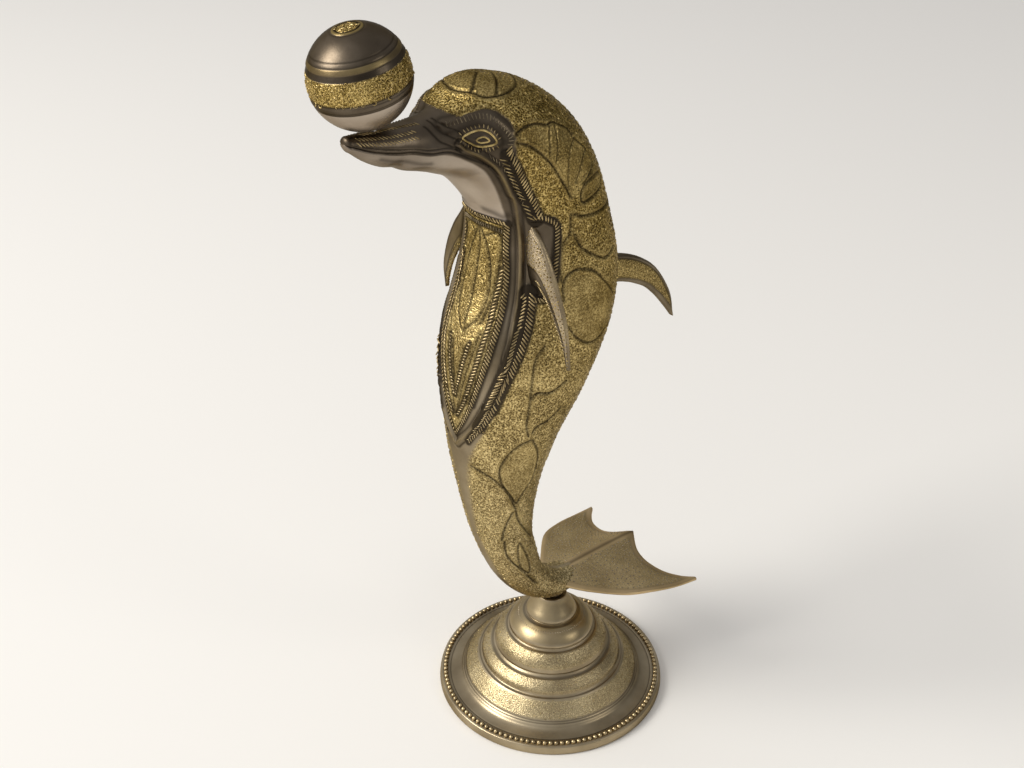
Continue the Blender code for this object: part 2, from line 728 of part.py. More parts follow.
def centre_on_origin():
    """Moves everything so that the middle of the object's box stands over the origin."""
    depths = [v.co.y for obj in PARTS.objects for v in obj.data.vertices]
    shift = Matrix.Translation((0, -(min(depths) + max(depths)) / 2, 0))
    for obj in PARTS.objects:
        obj.data.transform(shift)


make_foot()
make_fixing()
make_ball(make_body())
centre_on_origin()
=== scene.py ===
# %% [markdown]
# # Engraved brass dolphin with a ball
# The real thing is a hollow brass casting, darkened with a brown patina and then engraved by hand, so
# that the cuts shine like gold. The imported CAD model gives every place and size here. It is loaded
# first, and the boxes of its foot and ball are read from it. Nothing that is modelled below may grow
# out of it.

import math

import bpy
import numpy as np
from mathutils import Matrix, Vector
from mathutils.bvhtree import BVHTree


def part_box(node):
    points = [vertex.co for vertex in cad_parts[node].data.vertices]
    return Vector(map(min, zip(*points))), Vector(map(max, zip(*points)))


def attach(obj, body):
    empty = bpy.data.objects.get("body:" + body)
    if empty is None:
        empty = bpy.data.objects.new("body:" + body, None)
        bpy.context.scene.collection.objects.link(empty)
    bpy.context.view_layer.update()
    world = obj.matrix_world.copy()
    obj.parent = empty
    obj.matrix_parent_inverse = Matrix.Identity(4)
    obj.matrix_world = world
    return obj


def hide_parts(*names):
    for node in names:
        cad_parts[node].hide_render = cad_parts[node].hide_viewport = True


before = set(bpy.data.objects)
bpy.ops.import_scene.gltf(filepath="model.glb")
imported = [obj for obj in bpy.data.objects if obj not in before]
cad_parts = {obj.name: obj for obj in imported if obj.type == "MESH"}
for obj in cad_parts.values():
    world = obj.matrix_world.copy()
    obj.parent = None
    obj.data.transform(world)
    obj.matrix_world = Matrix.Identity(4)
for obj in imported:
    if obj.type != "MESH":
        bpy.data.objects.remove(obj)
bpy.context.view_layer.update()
foot_low, foot_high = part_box("foot")
AXIS_Y = (foot_low[1] + foot_high[1]) / 2
FOOT_TOP = foot_high[2]
MM = 0.001
UP = np.array((0.0, 0.0, 1.0))

# %% [markdown]
# ## Camera
# The photograph looks down on the dolphin's left side from a little above. A lens, a place and two
# turns are enough to match it: the lens comes from how fast the foot's rings flatten, the pitch from
# how round they look.

# %% Camera
bpy.ops.object.select_all(action="DESELECT")
bpy.ops.object.camera_add(
    location=(0.4864, -0.4159, 0.6311),
    rotation=(math.radians(90 - 31.38), 0, math.radians(50)),
)
camera = bpy.context.object
camera.name = "photo_camera"
camera.data.lens = 45.7
camera.data.sensor_width = 36
bpy.context.scene.camera = camera
bpy.context.scene.view_settings.view_transform = "Standard"
print("camera at", [round(c, 3) for c in camera.location])

# %% [markdown]
# ## Materials
# All the metal is one alloy in three states: a brown patina left alone, brass laid bare by the punch
# and the graver, and brass rubbed bright by hands. One material can show all three if it reads how much
# of each a point of the skin has. It also mixes in a pale tone, a painted reflection of the pale floor,
# and its rubbed brass also stands for a painted highlight along some crests. Those shares are written
# on the meshes later as four attributes, for bare brass, dark furrows, the painted pale reflection and
# rubbed brass with painted highlight, because only the mesh knows where its carving lies.

# %% Helpers for shader nodes
def add_node(tree, kind, inputs=None, **settings):
    """Adds a node, sets its options and links or sets its inputs."""
    node = tree.nodes.new(kind)
    for key, value in settings.items():
        setattr(node, key, value)
    for key, value in (inputs or {}).items():
        if isinstance(value, bpy.types.NodeSocket):
            tree.links.new(value, node.inputs[key])
        else:
            node.inputs[key].default_value = value
    return node


def blend_colours(tree, share, first, second):
    """A mix of two colours by a share."""
    node = add_node(tree, "ShaderNodeMix", data_type="RGBA")
    for socket, value in ((node.inputs[0], share), (node.inputs[6], first), (node.inputs[7], second)):
        if isinstance(value, bpy.types.NodeSocket):
            tree.links.new(value, socket)
        else:
            socket.default_value = value
    return node.outputs[2]


def ramp(tree, source, stops):
    """A colour ramp with the given stops."""
    node = add_node(tree, "ShaderNodeValToRGB", {"Fac": source})
    marks = node.color_ramp.elements
    while len(marks) < len(stops):
        marks.new(0.5)
    for mark, (place, colour) in zip(marks, stops):
        mark.position = place
        mark.color = (*colour, 1)
    return node.outputs["Color"]


def calculate(tree, operation, *values):
    """A math node."""
    node = add_node(tree, "ShaderNodeMath", operation=operation)
    for socket, value in zip(node.inputs, values):
        if isinstance(value, bpy.types.NodeSocket):
            tree.links.new(value, socket)
        else:
            socket.default_value = value
    return node.outputs[0]


def new_metal(name):
    """An empty metal material: its tree, its shader and the object coordinates."""
    material = bpy.data.materials.new(name)
    material.use_nodes = True
    tree = material.node_tree
    shader = tree.nodes["Principled BSDF"]
    shader.inputs["Metallic"].default_value = 1
    shader.inputs["Specular Tint"].default_value = (0.5, 0.47, 0.42, 1)
    place = add_node(tree, "ShaderNodeTexCoord").outputs["Object"]
    return material, tree, shader, place

# %% [markdown]
# The engraved skin has two scales of work on it. The punch leaves pits about a millimetre apart, which
# a Voronoi texture gives as small cells, and the graver leaves curled cuts, which a noise stretched by
# another noise gives. Both also push the surface in and out through a bump, so that the bare brass
# glitters. Each tone is written twice and the height of a point mixes them, as painted light: the metal
# is painted lighter down by the foot, where the pale floor lights it, and darker up by the head. The
# fluke kept a warmer patina than the tail it belongs to.

# %% Engraved skin
HIGH_PATINA = ((0.065, 0.05, 0.034), (0.11, 0.086, 0.06), (0.17, 0.137, 0.1))
LOW_PATINA = ((0.28, 0.22, 0.135), (0.39, 0.315, 0.2), (0.49, 0.405, 0.27))
FLUKE_PATINA = ((0.44, 0.315, 0.155), (0.56, 0.41, 0.21), (0.67, 0.5, 0.28))
HIGH_BRASS = ((0.045, 0.03, 0.009), (0.165, 0.11, 0.031), (0.33, 0.23, 0.069), (0.74, 0.56, 0.22))
LOW_BRASS = ((0.11, 0.08, 0.035), (0.28, 0.21, 0.095), (0.48, 0.375, 0.185), (0.82, 0.67, 0.36))


def height_share(tree, place):
    """Nought near the foot and one near the head: darker tones up high, as painted light from the floor.
    """
    height = add_node(tree, "ShaderNodeSeparateXYZ", {"Vector": place}).outputs["Z"]
    steps = {"Value": height, "From Min": 0.12, "From Max": 0.36}
    return add_node(tree, "ShaderNodeMapRange", steps).outputs[0]


def make_engraved(name, pit_size=1.0, low_patina=LOW_PATINA):
    """Patina and bare, punched brass, mixed by the mesh's own attributes."""
    material, tree, shader, place = new_metal(name)
    high = height_share(tree, place)
    share = {
        key: add_node(tree, "ShaderNodeAttribute", attribute_name=key).outputs["Fac"]
        for key in ("gold", "dark", "pale_reflection", "rubbed_and_sheen")
    }
    cloud = add_node(tree, "ShaderNodeTexNoise", {"Vector": place, "Scale": 38, "Detail": 5}).outputs[0]
    grain = add_node(tree, "ShaderNodeTexNoise", {"Vector": place, "Scale": 900, "Detail": 3}).outputs[0]
    pits = add_node(
        tree, "ShaderNodeTexVoronoi", {"Vector": place, "Scale": 1000 / pit_size, "Randomness": 0.9}
    ).outputs["Distance"]
    curls = add_node(
        tree, "ShaderNodeTexNoise",
        {"Vector": place, "Scale": 420 / pit_size, "Detail": 2, "Distortion": 2.2},
    ).outputs[0]
    wear = add_node(tree, "ShaderNodeTexNoise", {"Vector": place, "Scale": 70, "Detail": 3}).outputs[0]
    pitted = calculate(tree, "MULTIPLY", pits, 0.75)
    work = calculate(tree, "ADD", pitted, calculate(tree, "MULTIPLY", curls, 0.55))
    unevenness = calculate(tree, "MULTIPLY", calculate(tree, "SUBTRACT", wear, 0.5), 0.45)
    worn = calculate(tree, "ADD", work, unevenness)
    # The height mix is painted light: lighter tones low, where the pale floor lights the metal, darker up
    # by the head.
    dull = blend_colours(tree, high, *(
        ramp(tree, cloud, tuple(zip((0.3, 0.5, 0.72), tones))) for tones in (low_patina, HIGH_PATINA)
    ))
    bright = blend_colours(tree, high, *(
        ramp(tree, worn, tuple(zip((0.38, 0.52, 0.68, 0.92), tones)))
        for tones in (LOW_BRASS, HIGH_BRASS)
    ))
    # Rubbed brass: worn bright on leaves and rims, and a painted highlight along the ridge's crest.
    rubbed_and_sheen_tone = ramp(tree, wear, ((0.35, (0.2, 0.14, 0.05)), (0.65, (0.42, 0.315, 0.13))))
    # A pale tone mixed in by its own share: a painted reflection of the pale floor on the throat and under
    # the ball, and a painted highlight on the left flipper.
    reflection_tone = ramp(tree, cloud, ((0.3, (0.42, 0.345, 0.27)), (0.7, (0.56, 0.48, 0.39))))
    colour = blend_colours(tree, share["gold"], dull, bright)
    colour = blend_colours(tree, share["rubbed_and_sheen"], colour, rubbed_and_sheen_tone)
    colour = blend_colours(tree, share["pale_reflection"], colour, reflection_tone)
    colour = blend_colours(tree, share["dark"], colour, (0.022, 0.017, 0.012, 1))
    tree.links.new(colour, shader.inputs["Base Color"])
    spread = {"Value": grain, "To Min": 0.27, "To Max": 0.43}
    tree.links.new(add_node(tree, "ShaderNodeMapRange", spread).outputs[0], shader.inputs["Roughness"])
    plain = calculate(tree, "SUBTRACT", 1.0, share["rubbed_and_sheen"])
    cut = calculate(tree, "MULTIPLY", calculate(tree, "MULTIPLY", work, share["gold"]), plain)
    height = calculate(tree, "ADD", cut, calculate(tree, "MULTIPLY", grain, 0.06))
    bump = add_node(tree, "ShaderNodeBump", {"Height": height, "Strength": 0.8, "Distance": 0.0005})
    tree.links.new(bump.outputs[0], shader.inputs["Normal"])
    return material


ENGRAVED = make_engraved("engraved_skin")
FINE_ENGRAVED = make_engraved("fine_engraved_skin", pit_size=0.7)
FLUKE_SKIN = make_engraved("warm_fluke_skin", pit_size=0.7, low_patina=FLUKE_PATINA)
print("skin materials", ENGRAVED.name, FINE_ENGRAVED.name)

# %% [markdown]
# Raised strokes, curls and beads stand proud, so hands and cloths rub them: they are the brightest
# brass on the object. The steel of the hidden stud, nut and pin is grey and plain, with a fine grain
# from the die that cut it.

# %% Bright brass and steel
def make_plain_metal(name, dim, bright, rough, grain_size):
    """A metal whose colour wanders between two tones, with a fine grain."""
    material, tree, shader, place = new_metal(name)
    cloud = add_node(tree, "ShaderNodeTexNoise", {"Vector": place, "Scale": 210, "Detail": 3}).outputs[0]
    fine = {"Vector": place, "Scale": grain_size, "Detail": 2}
    grain = add_node(tree, "ShaderNodeTexNoise", fine).outputs[0]
    tone = ramp(tree, cloud, ((0.36, dim), (0.64, bright)))
    # Paler towards the foot: painted light from the pale floor below.
    lowness = calculate(tree, "SUBTRACT", 1.0, height_share(tree, place))
    low = calculate(tree, "MULTIPLY", lowness, 0.35)
    paler = tuple(min(1, 0.15 + 1.1 * b) for b in bright)
    tree.links.new(blend_colours(tree, low, tone, (*paler, 1)), shader.inputs["Base Color"])
    spread = {"Value": grain, "To Min": rough - 0.07, "To Max": rough + 0.1}
    tree.links.new(add_node(tree, "ShaderNodeMapRange", spread).outputs[0], shader.inputs["Roughness"])
    bump = add_node(tree, "ShaderNodeBump", {"Height": grain, "Strength": 0.25, "Distance": 0.0001})
    tree.links.new(bump.outputs[0], shader.inputs["Normal"])
    return material


RUBBED_GOLD = make_plain_metal("rubbed_gold", (0.3, 0.21, 0.075), (0.78, 0.6, 0.26), 0.28, 1500)
ROPE_GOLD = make_plain_metal("rope_gold", (0.2, 0.145, 0.065), (0.56, 0.43, 0.22), 0.32, 1500)
CURL_GOLD = make_plain_metal("curl_gold", (0.13, 0.088, 0.027), (0.43, 0.31, 0.108), 0.3, 1800)
DULL_STROKE = make_plain_metal("dull_stroke", (0.13, 0.105, 0.07), (0.3, 0.24, 0.15), 0.36, 1500)
STEEL = make_plain_metal("plated_steel", (0.36, 0.35, 0.33), (0.52, 0.51, 0.48), 0.34, 1100)
print("plain metals", RUBBED_GOLD.name, ROPE_GOLD.name, CURL_GOLD.name, STEEL.name)

# %% [markdown]
# ## The body's form
# The dolphin is a bent tube whose section changes all the way from the tail to the beak. It is
# described by ribs, as a boat is: each rib has a back end, a belly end and a width. A smooth curve
# through the ribs gives the form between them. The ribs are the same as those of the CAD body.

# %% Ribs
RIBS = np.array([
    (-22, 14.5, -22, 6.5, 11), (-6, 17.5, -8, 3, 12.5), (5, 24.5, 10, 3.5, 13.5),
    (14, 36.5, 29, 15.5, 14), (19, 53.5, 47, 39.5, 16), (24, 77.5, 61, 74.5, 19),
    (20, 111.5, 69, 108.5, 24), (9, 145.5, 74, 142.5, 32), (-10, 178.5, 74.8, 176.5, 40),
    (-27, 212.5, 72.2, 210.5, 43), (-31, 243.5, 61, 242.5, 41), (-25, 274.5, 56, 271.5, 36),
    (-14, 306.5, 59, 287.5, 34), (3, 331.5, 68.5, 301.5, 34), (26, 349.5, 79, 311.5, 32),
    (50, 358.5, 90.5, 317, 27), (64.5, 358.5, 98, 319.5, 21), (81, 347.5, 105, 321.5, 15),
    (94, 345, 111, 324.5, 11.5), (107, 344.5, 118, 326.5, 10), (121, 344.5, 126, 331, 8),
    (133, 345, 133.5, 337, 4.5),
])
LAST_RIB = len(RIBS) - 1.001
PADDED = np.vstack([RIBS[0] * 2 - RIBS[1], RIBS, RIBS[-1] * 2 - RIBS[-2]])


def smooth_between(a, b, c, d, t):
    """A smooth curve from b to c that heads as its neighbours a and d say."""
    bend = (2 * a - 5 * b + 4 * c - d) * t**2 + (3 * b - a - 3 * c + d) * t**3
    return 0.5 * (2 * b + (c - a) * t + bend)


def place(forward, side, height):
    """Points of space in metres for points of the side drawing in millimetres."""
    return np.stack([side * MM, AXIS_Y - forward * MM, FOOT_TOP + height * MM], -1)


def form(number, degrees):
    """Points of the plain form: the rib's number, and the degrees round it from the back."""
    number = np.clip(np.asarray(number, float), 0, LAST_RIB)
    first = number.astype(int)
    rows = smooth_between(*(PADDED[first + k] for k in range(4)), (number - first)[:, None])
    turn = np.radians(degrees)
    swing = (1 + np.cos(turn)) / 2
    forward = rows[:, 2] + (rows[:, 0] - rows[:, 2]) * swing
    height = rows[:, 3] + (rows[:, 1] - rows[:, 3]) * swing
    return place(forward, rows[:, 4] * np.sin(turn), height)


def unit(vectors):
    """Vectors of length one."""
    return vectors / np.maximum(np.linalg.norm(vectors, axis=-1, keepdims=True), 1e-12)


def outward(number, degrees):
    """The direction that points out of the form."""
    along = form(number + 0.03, degrees) - form(number - 0.03, degrees)
    round_it = form(number, degrees + 1) - form(number, degrees - 1)
    out = unit(np.cross(along, round_it))
    middle = (form(number, degrees) + form(number, degrees + 180)) / 2
    flip = np.einsum("ij,ij->i", out, form(number, degrees) - middle) < 0
    out[flip] *= -1
    return out


print("ribs", len(RIBS), "beak tip at", form([LAST_RIB], [0])[0].round(4))

# %% [markdown]
# ## The carved lines
# Everything carved on the skin follows lines. A line is written as marks, each a rib number and a
# number of degrees round the rib, so that it stays on the skin whatever the form does. Left and right
# are mirror images, so only the left side's lines are written down.

# %% Lines of the head
RIDGE = [
    (15.9, 102), (15.48, 108.5), (14.75, 113.5), (14.15, 120), (13.5, 127), (12.8, 133), (12.59, 133.5),
    (11.64, 140), (10.75, 141.5), (10.15, 141.5), (9.66, 141), (9.19, 140), (8.6, 143), (8.1, 151),
    (7.6, 162), (7.2, 180),
]
LIP = [
    (21, 97), (20.5, 97), (19.8, 97), (18.8, 98), (17.3, 102), (16, 112.5), (15.2, 118), (14.3, 123),
    (13.7, 127.5),
]
THROAT_SHADE = [(12.2, 166), (12.08, 158), (11.92, 151), (12.0, 146)]
LIP_LINE = [(20.6, 78), (19.56, 83), (18.88, 87), (17.6, 94), (16.88, 97), (15.84, 110)]
JAW_SHADE = [(19.5, 121), (18.3, 125), (17.2, 127.5), (16.4, 132)]
CREASES = [
    [(17.68, 25), (17.28, 53), (16.68, 79), (16.04, 98), (15.55, 106.5)],
    [(17.88, 40), (17.44, 63), (16.9, 84), (16.2, 103), (15.6, 111)],
    [(17.46, 23), (17.08, 50), (16.46, 76), (15.96, 92), (15.4, 103)],
]
BROW = [
    (17, 50), (16.6, 60), (16.2, 66.5), (15.7, 68.5), (15.2, 71), (14.8, 78), (14.45, 87), (14.3, 96),
]
EYE = [
    (16, 93.5), (15.75, 87.5), (15.36, 85), (15, 88), (14.7, 95), (14.8, 100), (15.1, 103),
    (15.55, 100.5),
]
IRIS = [(15.37, 96), (15.17, 92), (14.9, 95.5), (15.15, 99)]
EYE_ROPE = [
    (14.42, 98), (14.2, 106), (13.7, 114), (13.2, 120), (12.7, 123.5), (12.1, 125), (11.75, 125),
]
print("the eye has", len(EYE), "marks, the ridge", len(RIDGE))

# %% [markdown]
# A twisted rope frames each flipper, runs down beside the ridge and goes round the belly panel. The
# panel holds a leaf, and below it nested strips that come to a point.

# %% Lines of the ropes and the panel
FIN_BOX = [
    (11.8, 127), (11.76, 121), (11.59, 115), (11.41, 111), (11.1, 112.5), (10.73, 115), (10.38, 117),
    (10.1, 119.5), (9.99, 124.5), (10.01, 131),
]
SIDE_ROPE = [
    (10.11, 135), (9.76, 134.5), (9.38, 134), (8.99, 136), (8.6, 140.5), (8.1, 147), (7.7, 154.5),
    (7.35, 165),
]
PANEL_TOP = [(11.66, 149.5), (11.76, 160), (11.82, 170), (11.82, 180)]
PANEL_TOP_INNER = [(11.34, 154), (11.42, 163), (11.46, 172), (11.46, 180)]
PANEL_EDGE = [
    (11.66, 149.5), (10.95, 153), (10.44, 152), (9.94, 151.5), (9.46, 151.5), (8.99, 153), (8.6, 156.5),
    (8.1, 162.5), (7.7, 170.5), (7.4, 180),
]
PANEL_EDGE_INNER = [
    (10.5, 155.5), (9.94, 158), (9.46, 158), (9, 160), (8.6, 163.5), (8.1, 170), (7.8, 177),
]
PANEL_LEAF = [(11.3, 179), (10.9, 172), (10.5, 166.5), (10, 165), (9.6, 168), (9.3, 179)]
PANEL_RIB = [(11.3, 180), (10.6, 180), (10, 180), (9.4, 180)]
PANEL_ARCH = [
    (11.1, 172), (11.24, 161), (11.08, 157), (10.68, 158), (10.24, 160), (9.84, 162), (9.5, 165),
]
PANEL_STRIPS = [
    [(9.36, 163), (8.96, 166), (8.6, 170), (8.08, 176), (7.8, 180)],
    [(9.08, 173), (8.64, 177), (8.2, 180)],
]
BEAD_STRIP = [(9.16, 169.5), (8.68, 173.5), (8.15, 179)]
print("the panel runs from rib", PANEL_EDGE[-1][0], "to", PANEL_TOP[-1][0])

# %% [markdown]
# The leaves are drawn freely over the side: a big scalloped one behind the eye, a flower on the
# forehead, a round one in the middle and a drop on the tail, with stems between them.

# %% Lines of the leaves
BIG_LEAF = [
    (14.36, 83), (14.28, 75), (14.04, 67), (13.76, 63), (13.68, 58), (13.44, 55), (13.2, 53), (13, 56),
    (12.72, 53), (12.4, 51), (12.16, 53), (12.08, 64), (12.04, 76),
]
BIG_LEAF_RIB = [(14.2, 91), (13.84, 89), (13.28, 90), (12.6, 92), (11.96, 92)]
VEINS = [
    [(13.72, 62), (13.56, 73), (13.24, 87)], [(13.6, 59), (13.36, 70), (13, 86)],
    [(13, 56), (12.88, 71), (12.52, 84), (12.08, 92)], [(12.55, 52), (12.45, 66), (12.2, 82)],
]
HEAD_FLOWER = [
    (16.43, 0), (16.36, 15), (16.12, 32), (15.7, 46), (15.25, 46.5), (14.85, 40.5), (14.55, 26),
    (14.4, 0),
]
HEAD_VEINS = [[(16.08, 33), (15.84, 17), (15.4, 0)], [(15.2, 46), (15.05, 24), (14.9, 0)]]
BACK_LEAF = [(11.84, 46), (12, 69), (11.92, 80), (11.68, 83), (11.64, 72), (11.64, 53)]
S_CURVE = [(11.2, 40), (11.24, 57), (11.32, 76), (11.4, 87), (11.52, 94)]
SIDE_LEAF = [(11.08, 98), (10.8, 94), (10.6, 85), (10.4, 70), (10.45, 55)]
BACK_STEM = [(11.56, 97), (11.16, 101), (10.92, 109), (10.6, 113), (10.28, 112)]
ROUND_LEAF = [
    (9.92, 110), (10.16, 111), (10.32, 109), (10.4, 103), (10.4, 95), (10.28, 84), (10, 73), (9.6, 57),
]
ROUND_LEAF_LOW = [(9.5, 105), (9.15, 92), (8.95, 76), (9.05, 58)]
MIDDLE_STEM = [(9.2, 117), (8.96, 121), (8.52, 120), (8.12, 118), (7.76, 116), (7.52, 111)]
BRANCHES = [
    [(8.44, 93), (8.32, 104), (8.36, 115), (8.28, 118)],
    [(7.92, 88), (7.76, 96), (7.68, 106), (7.56, 108)],
]
BACK_VINE = [(9.8, 40), (9.3, 24), (8.7, 30), (8.3, 20), (7.6, 24), (7, 44), (6.6, 56)]
TEARDROP = [
    (7.4, 107), (7.28, 120), (6.96, 129), (6.72, 130), (6.44, 124), (6.15, 112), (5.97, 103), (6.2, 93),
    (6.44, 84), (6.92, 88), (7.3, 101),
]
STEM = [(6.84, 162), (6.76, 149), (6.6, 135), (6.28, 118), (5.88, 105), (5.44, 93), (4.8, 59)]
STEM_LOW = [(5.76, 107), (5.44, 119), (5.12, 127)]
TAIL_VINE = [(5.08, 123), (4.64, 125), (4.04, 106), (3.3, 96)]
TAIL_LEAF = [(4.9, 96), (4.4, 84), (3.9, 92), (4.2, 108)]
print("the big leaf has", len(BIG_LEAF), "marks and", len(VEINS), "veins")

# %% [markdown]
# A few marks are enough for a long line, because a smooth curve is drawn through them, as a flexible
# ruler would. What the carving needs afterwards is how far any point of the skin lies from the line.

# %% Following a line
def flow(marks, steps=20, closed=False):
    """Closely spaced samples of a smooth curve through the marks."""
    marks = np.array(marks, float)
    if closed:
        padded = np.vstack([marks[-1], marks, marks[0], marks[1]])
    else:
        padded = np.vstack([marks[0] * 2 - marks[1], marks, marks[-1] * 2 - marks[-2]])
    t = np.linspace(0, 1, steps, endpoint=False)[:, None]
    rows = [smooth_between(*padded[k : k + 4], t) for k in range(len(padded) - 3)]
    return np.vstack(rows if closed else rows + [marks[-1:]])


def traced(marks, closed=False):
    """The points on the form that a line passes."""
    samples = flow(marks, closed=closed)
    return form(samples[:, 0], samples[:, 1])


def distance(points, line, reach):
    """How far points are from a line, in metres; beyond reach it is just a large number."""
    result = np.full(len(points), 1.0)
    inside = np.all((points > line.min(0) - reach) & (points < line.max(0) + reach), axis=1)
    near = np.where(inside)[0]
    for part in np.array_split(near, max(1, len(near) // 4000)):
        gaps = points[part][:, None] - line[None]
        result[part] = np.sqrt((gaps**2).sum(-1).min(1))
    return result


def bell(gap, middle, width):
    """One at a distance of middle, falling off to both sides."""
    return np.exp(-(((gap / MM - middle) / width) ** 2))


print("ridge is", round(np.linalg.norm(np.diff(traced(RIDGE), axis=0), axis=1).sum() / MM), "mm long")

# %% [markdown]
# ## Fields
# Between the lines lie fields: bare brass behind the eye and down the side, smooth patina on the beak, a
# throat painted pale as a painted reflection of the pale floor, and the belly panel. A field's edge is
# written as degrees for a rib number, as a tailor writes half widths down a pattern.

# %% Fields of the skin
GOLD_EDGE = np.array([
    (0, 118), (2.5, 140), (4.1, 162), (5.2, 172), (6.5, 168), (7, 163), (7.5, 152), (8.1, 141),
    (8.6, 134.5), (9, 130), (9.4, 128), (9.8, 128.5), (10.02, 128), (10.06, 115.5), (10.73, 111),
    (11.36, 107), (11.66, 110), (11.76, 119), (12.2, 119.5), (12.8, 117), (13.4, 111.5),
    (13.9, 103.5), (14.12, 96), (14.4, 82), (14.72, 70), (15.12, 63), (15.6, 61), (16.04, 62),
    (16.44, 58), (16.7, 44), (16.92, 27), (17.1, -5), (21, -5),
])
# The edge of the throat's pale tone, which is a painted reflection of the pale floor.
PAINTED_REFLECTION_EDGE = np.array([
    (11.75, 149), (12.3, 147.5), (12.8, 143.5), (13.5, 137.5), (14.15, 130.5), (14.75, 124.5),
    (15.3, 121), (16, 117.5), (17.3, 107.5), (18.8, 103), (19.8, 101.5), (21, 101),
])
PANEL = np.array([
    (7.4, 180), (7.7, 170), (8.1, 162), (8.6, 155.5), (9, 152), (9.46, 150.5), (9.94, 150.5),
    (10.44, 151), (10.95, 152), (11.66, 149),
])


NOWHERE = 400


def step(value, edge, soft):
    """Nought below the edge and one above it, with a soft change."""
    t = np.clip((value - edge) / soft + 0.5, 0, 1)
    return t * t * (3 - 2 * t)


def inside_leaf(number, degrees, marks):
    """Which points lie inside a closed line, by counting how often a ray crosses it."""
    outline = flow(marks, 6, closed=True)
    odd = np.zeros(len(number), bool)
    for (a, b), (c, d) in zip(outline, np.roll(outline, -1, axis=0)):
        crosses = (b > degrees) != (d > degrees)
        if d != b:
            odd ^= crosses & (number < (c - a) * (degrees - b) / (d - b) + a)
    return odd.astype(float)


LEAVES = [
    BIG_LEAF + [(12, 92), (13.28, 90), (14.2, 91)],
    HEAD_FLOWER + [(14.9, -40), (15.6, -40), (16.2, -25)],
    ROUND_LEAF + [(9.05, 60), (8.95, 76), (9.15, 92)],
    BACK_LEAF, TEARDROP, TAIL_LEAF,
]


def fields(number, degrees):
    """Shares of bare brass, painted pale reflection and burnished leaf for points of the skin."""
    side = np.abs((degrees + 180) % 360 - 180)
    softness = np.interp(number, (6.8, 7.6), (13, 3))
    gold = 1 - step(side, np.interp(number, *GOLD_EDGE.T), softness)
    panel = step(side, np.interp(number, *PANEL.T, left=NOWHERE, right=NOWHERE), 2)
    # The throat's pale tone is a painted reflection of the pale floor, weaker towards the beak.
    paleness = np.interp(number, (14, 16.5), (1, 0.45))
    pale_reflection = step(side, np.interp(number, *PAINTED_REFLECTION_EDGE.T, left=NOWHERE), 2.5) * paleness
    leaf = np.zeros(len(number))
    for marks in LEAVES:
        leaf = np.maximum(leaf, inside_leaf(number, side, marks))
    spine = (1 - step(side, 7, 5)) * (1 - step(number, 13.6, 0.6))
    gold = np.maximum(gold * (1 - 0.75 * spine), panel)
    return gold, pale_reflection, leaf * gold


some = fields(np.array([9.0, 12.5, 18.0]), np.array([90.0, 160.0, 150.0]))
print("shares at three places", np.round(some, 2).tolist())

# %% [markdown]
# ## Relief
# A leaf's line is a narrow furrow that stayed dark, because no cloth reaches into it, with a rubbed
# burr beside it. The ridge and the brow are rounded crests between furrows, and the ropes stand in dark
# bands. Along the ridge's crest lies a painted highlight of rubbed brass. The relief adds all that up as
# a height over the plain form, and marks what is dark, what is burnished and where a highlight is
# painted. It could be sculpted by hand, but a height that is calculated from distances keeps every
# line as crisp at the tail as at the head.

# %% Relief of the skin
LEAF_LINES = [
    (BIG_LEAF, False), (BIG_LEAF_RIB, False), (HEAD_FLOWER, False), (BACK_LEAF, True),
    (S_CURVE, False), (SIDE_LEAF, False), (BACK_STEM, False), (ROUND_LEAF, False),
    (ROUND_LEAF_LOW, False), (MIDDLE_STEM, False), (BACK_VINE, False), (TEARDROP, True),
    (STEM, False), (STEM_LOW, False),
    (TAIL_VINE, False), (TAIL_LEAF, True), (PANEL_LEAF, False), (PANEL_RIB, False), (PANEL_ARCH, False),
    *((line, False) for line in HEAD_VEINS + PANEL_STRIPS + BRANCHES),
]


ROPE_BANDS = [
    (EYE_ROPE[1:3], 3.4), (EYE_ROPE[2:], 5.0), (SIDE_ROPE[:6], 5.4), (SIDE_ROPE[5:7], 4.0),
    (SIDE_ROPE[6:], 2.4), (FIN_BOX, 2.6), (PANEL_TOP, 2.4), (PANEL_TOP_INNER, 2.0),
    (PANEL_EDGE[:8], 2.7), (PANEL_EDGE[7:], 1.8), (PANEL_EDGE_INNER, 2.1), (BEAD_STRIP, 1.7),
]
RELIEF_REACH = 12 * MM
ROOM_SCALE = 10 * MM


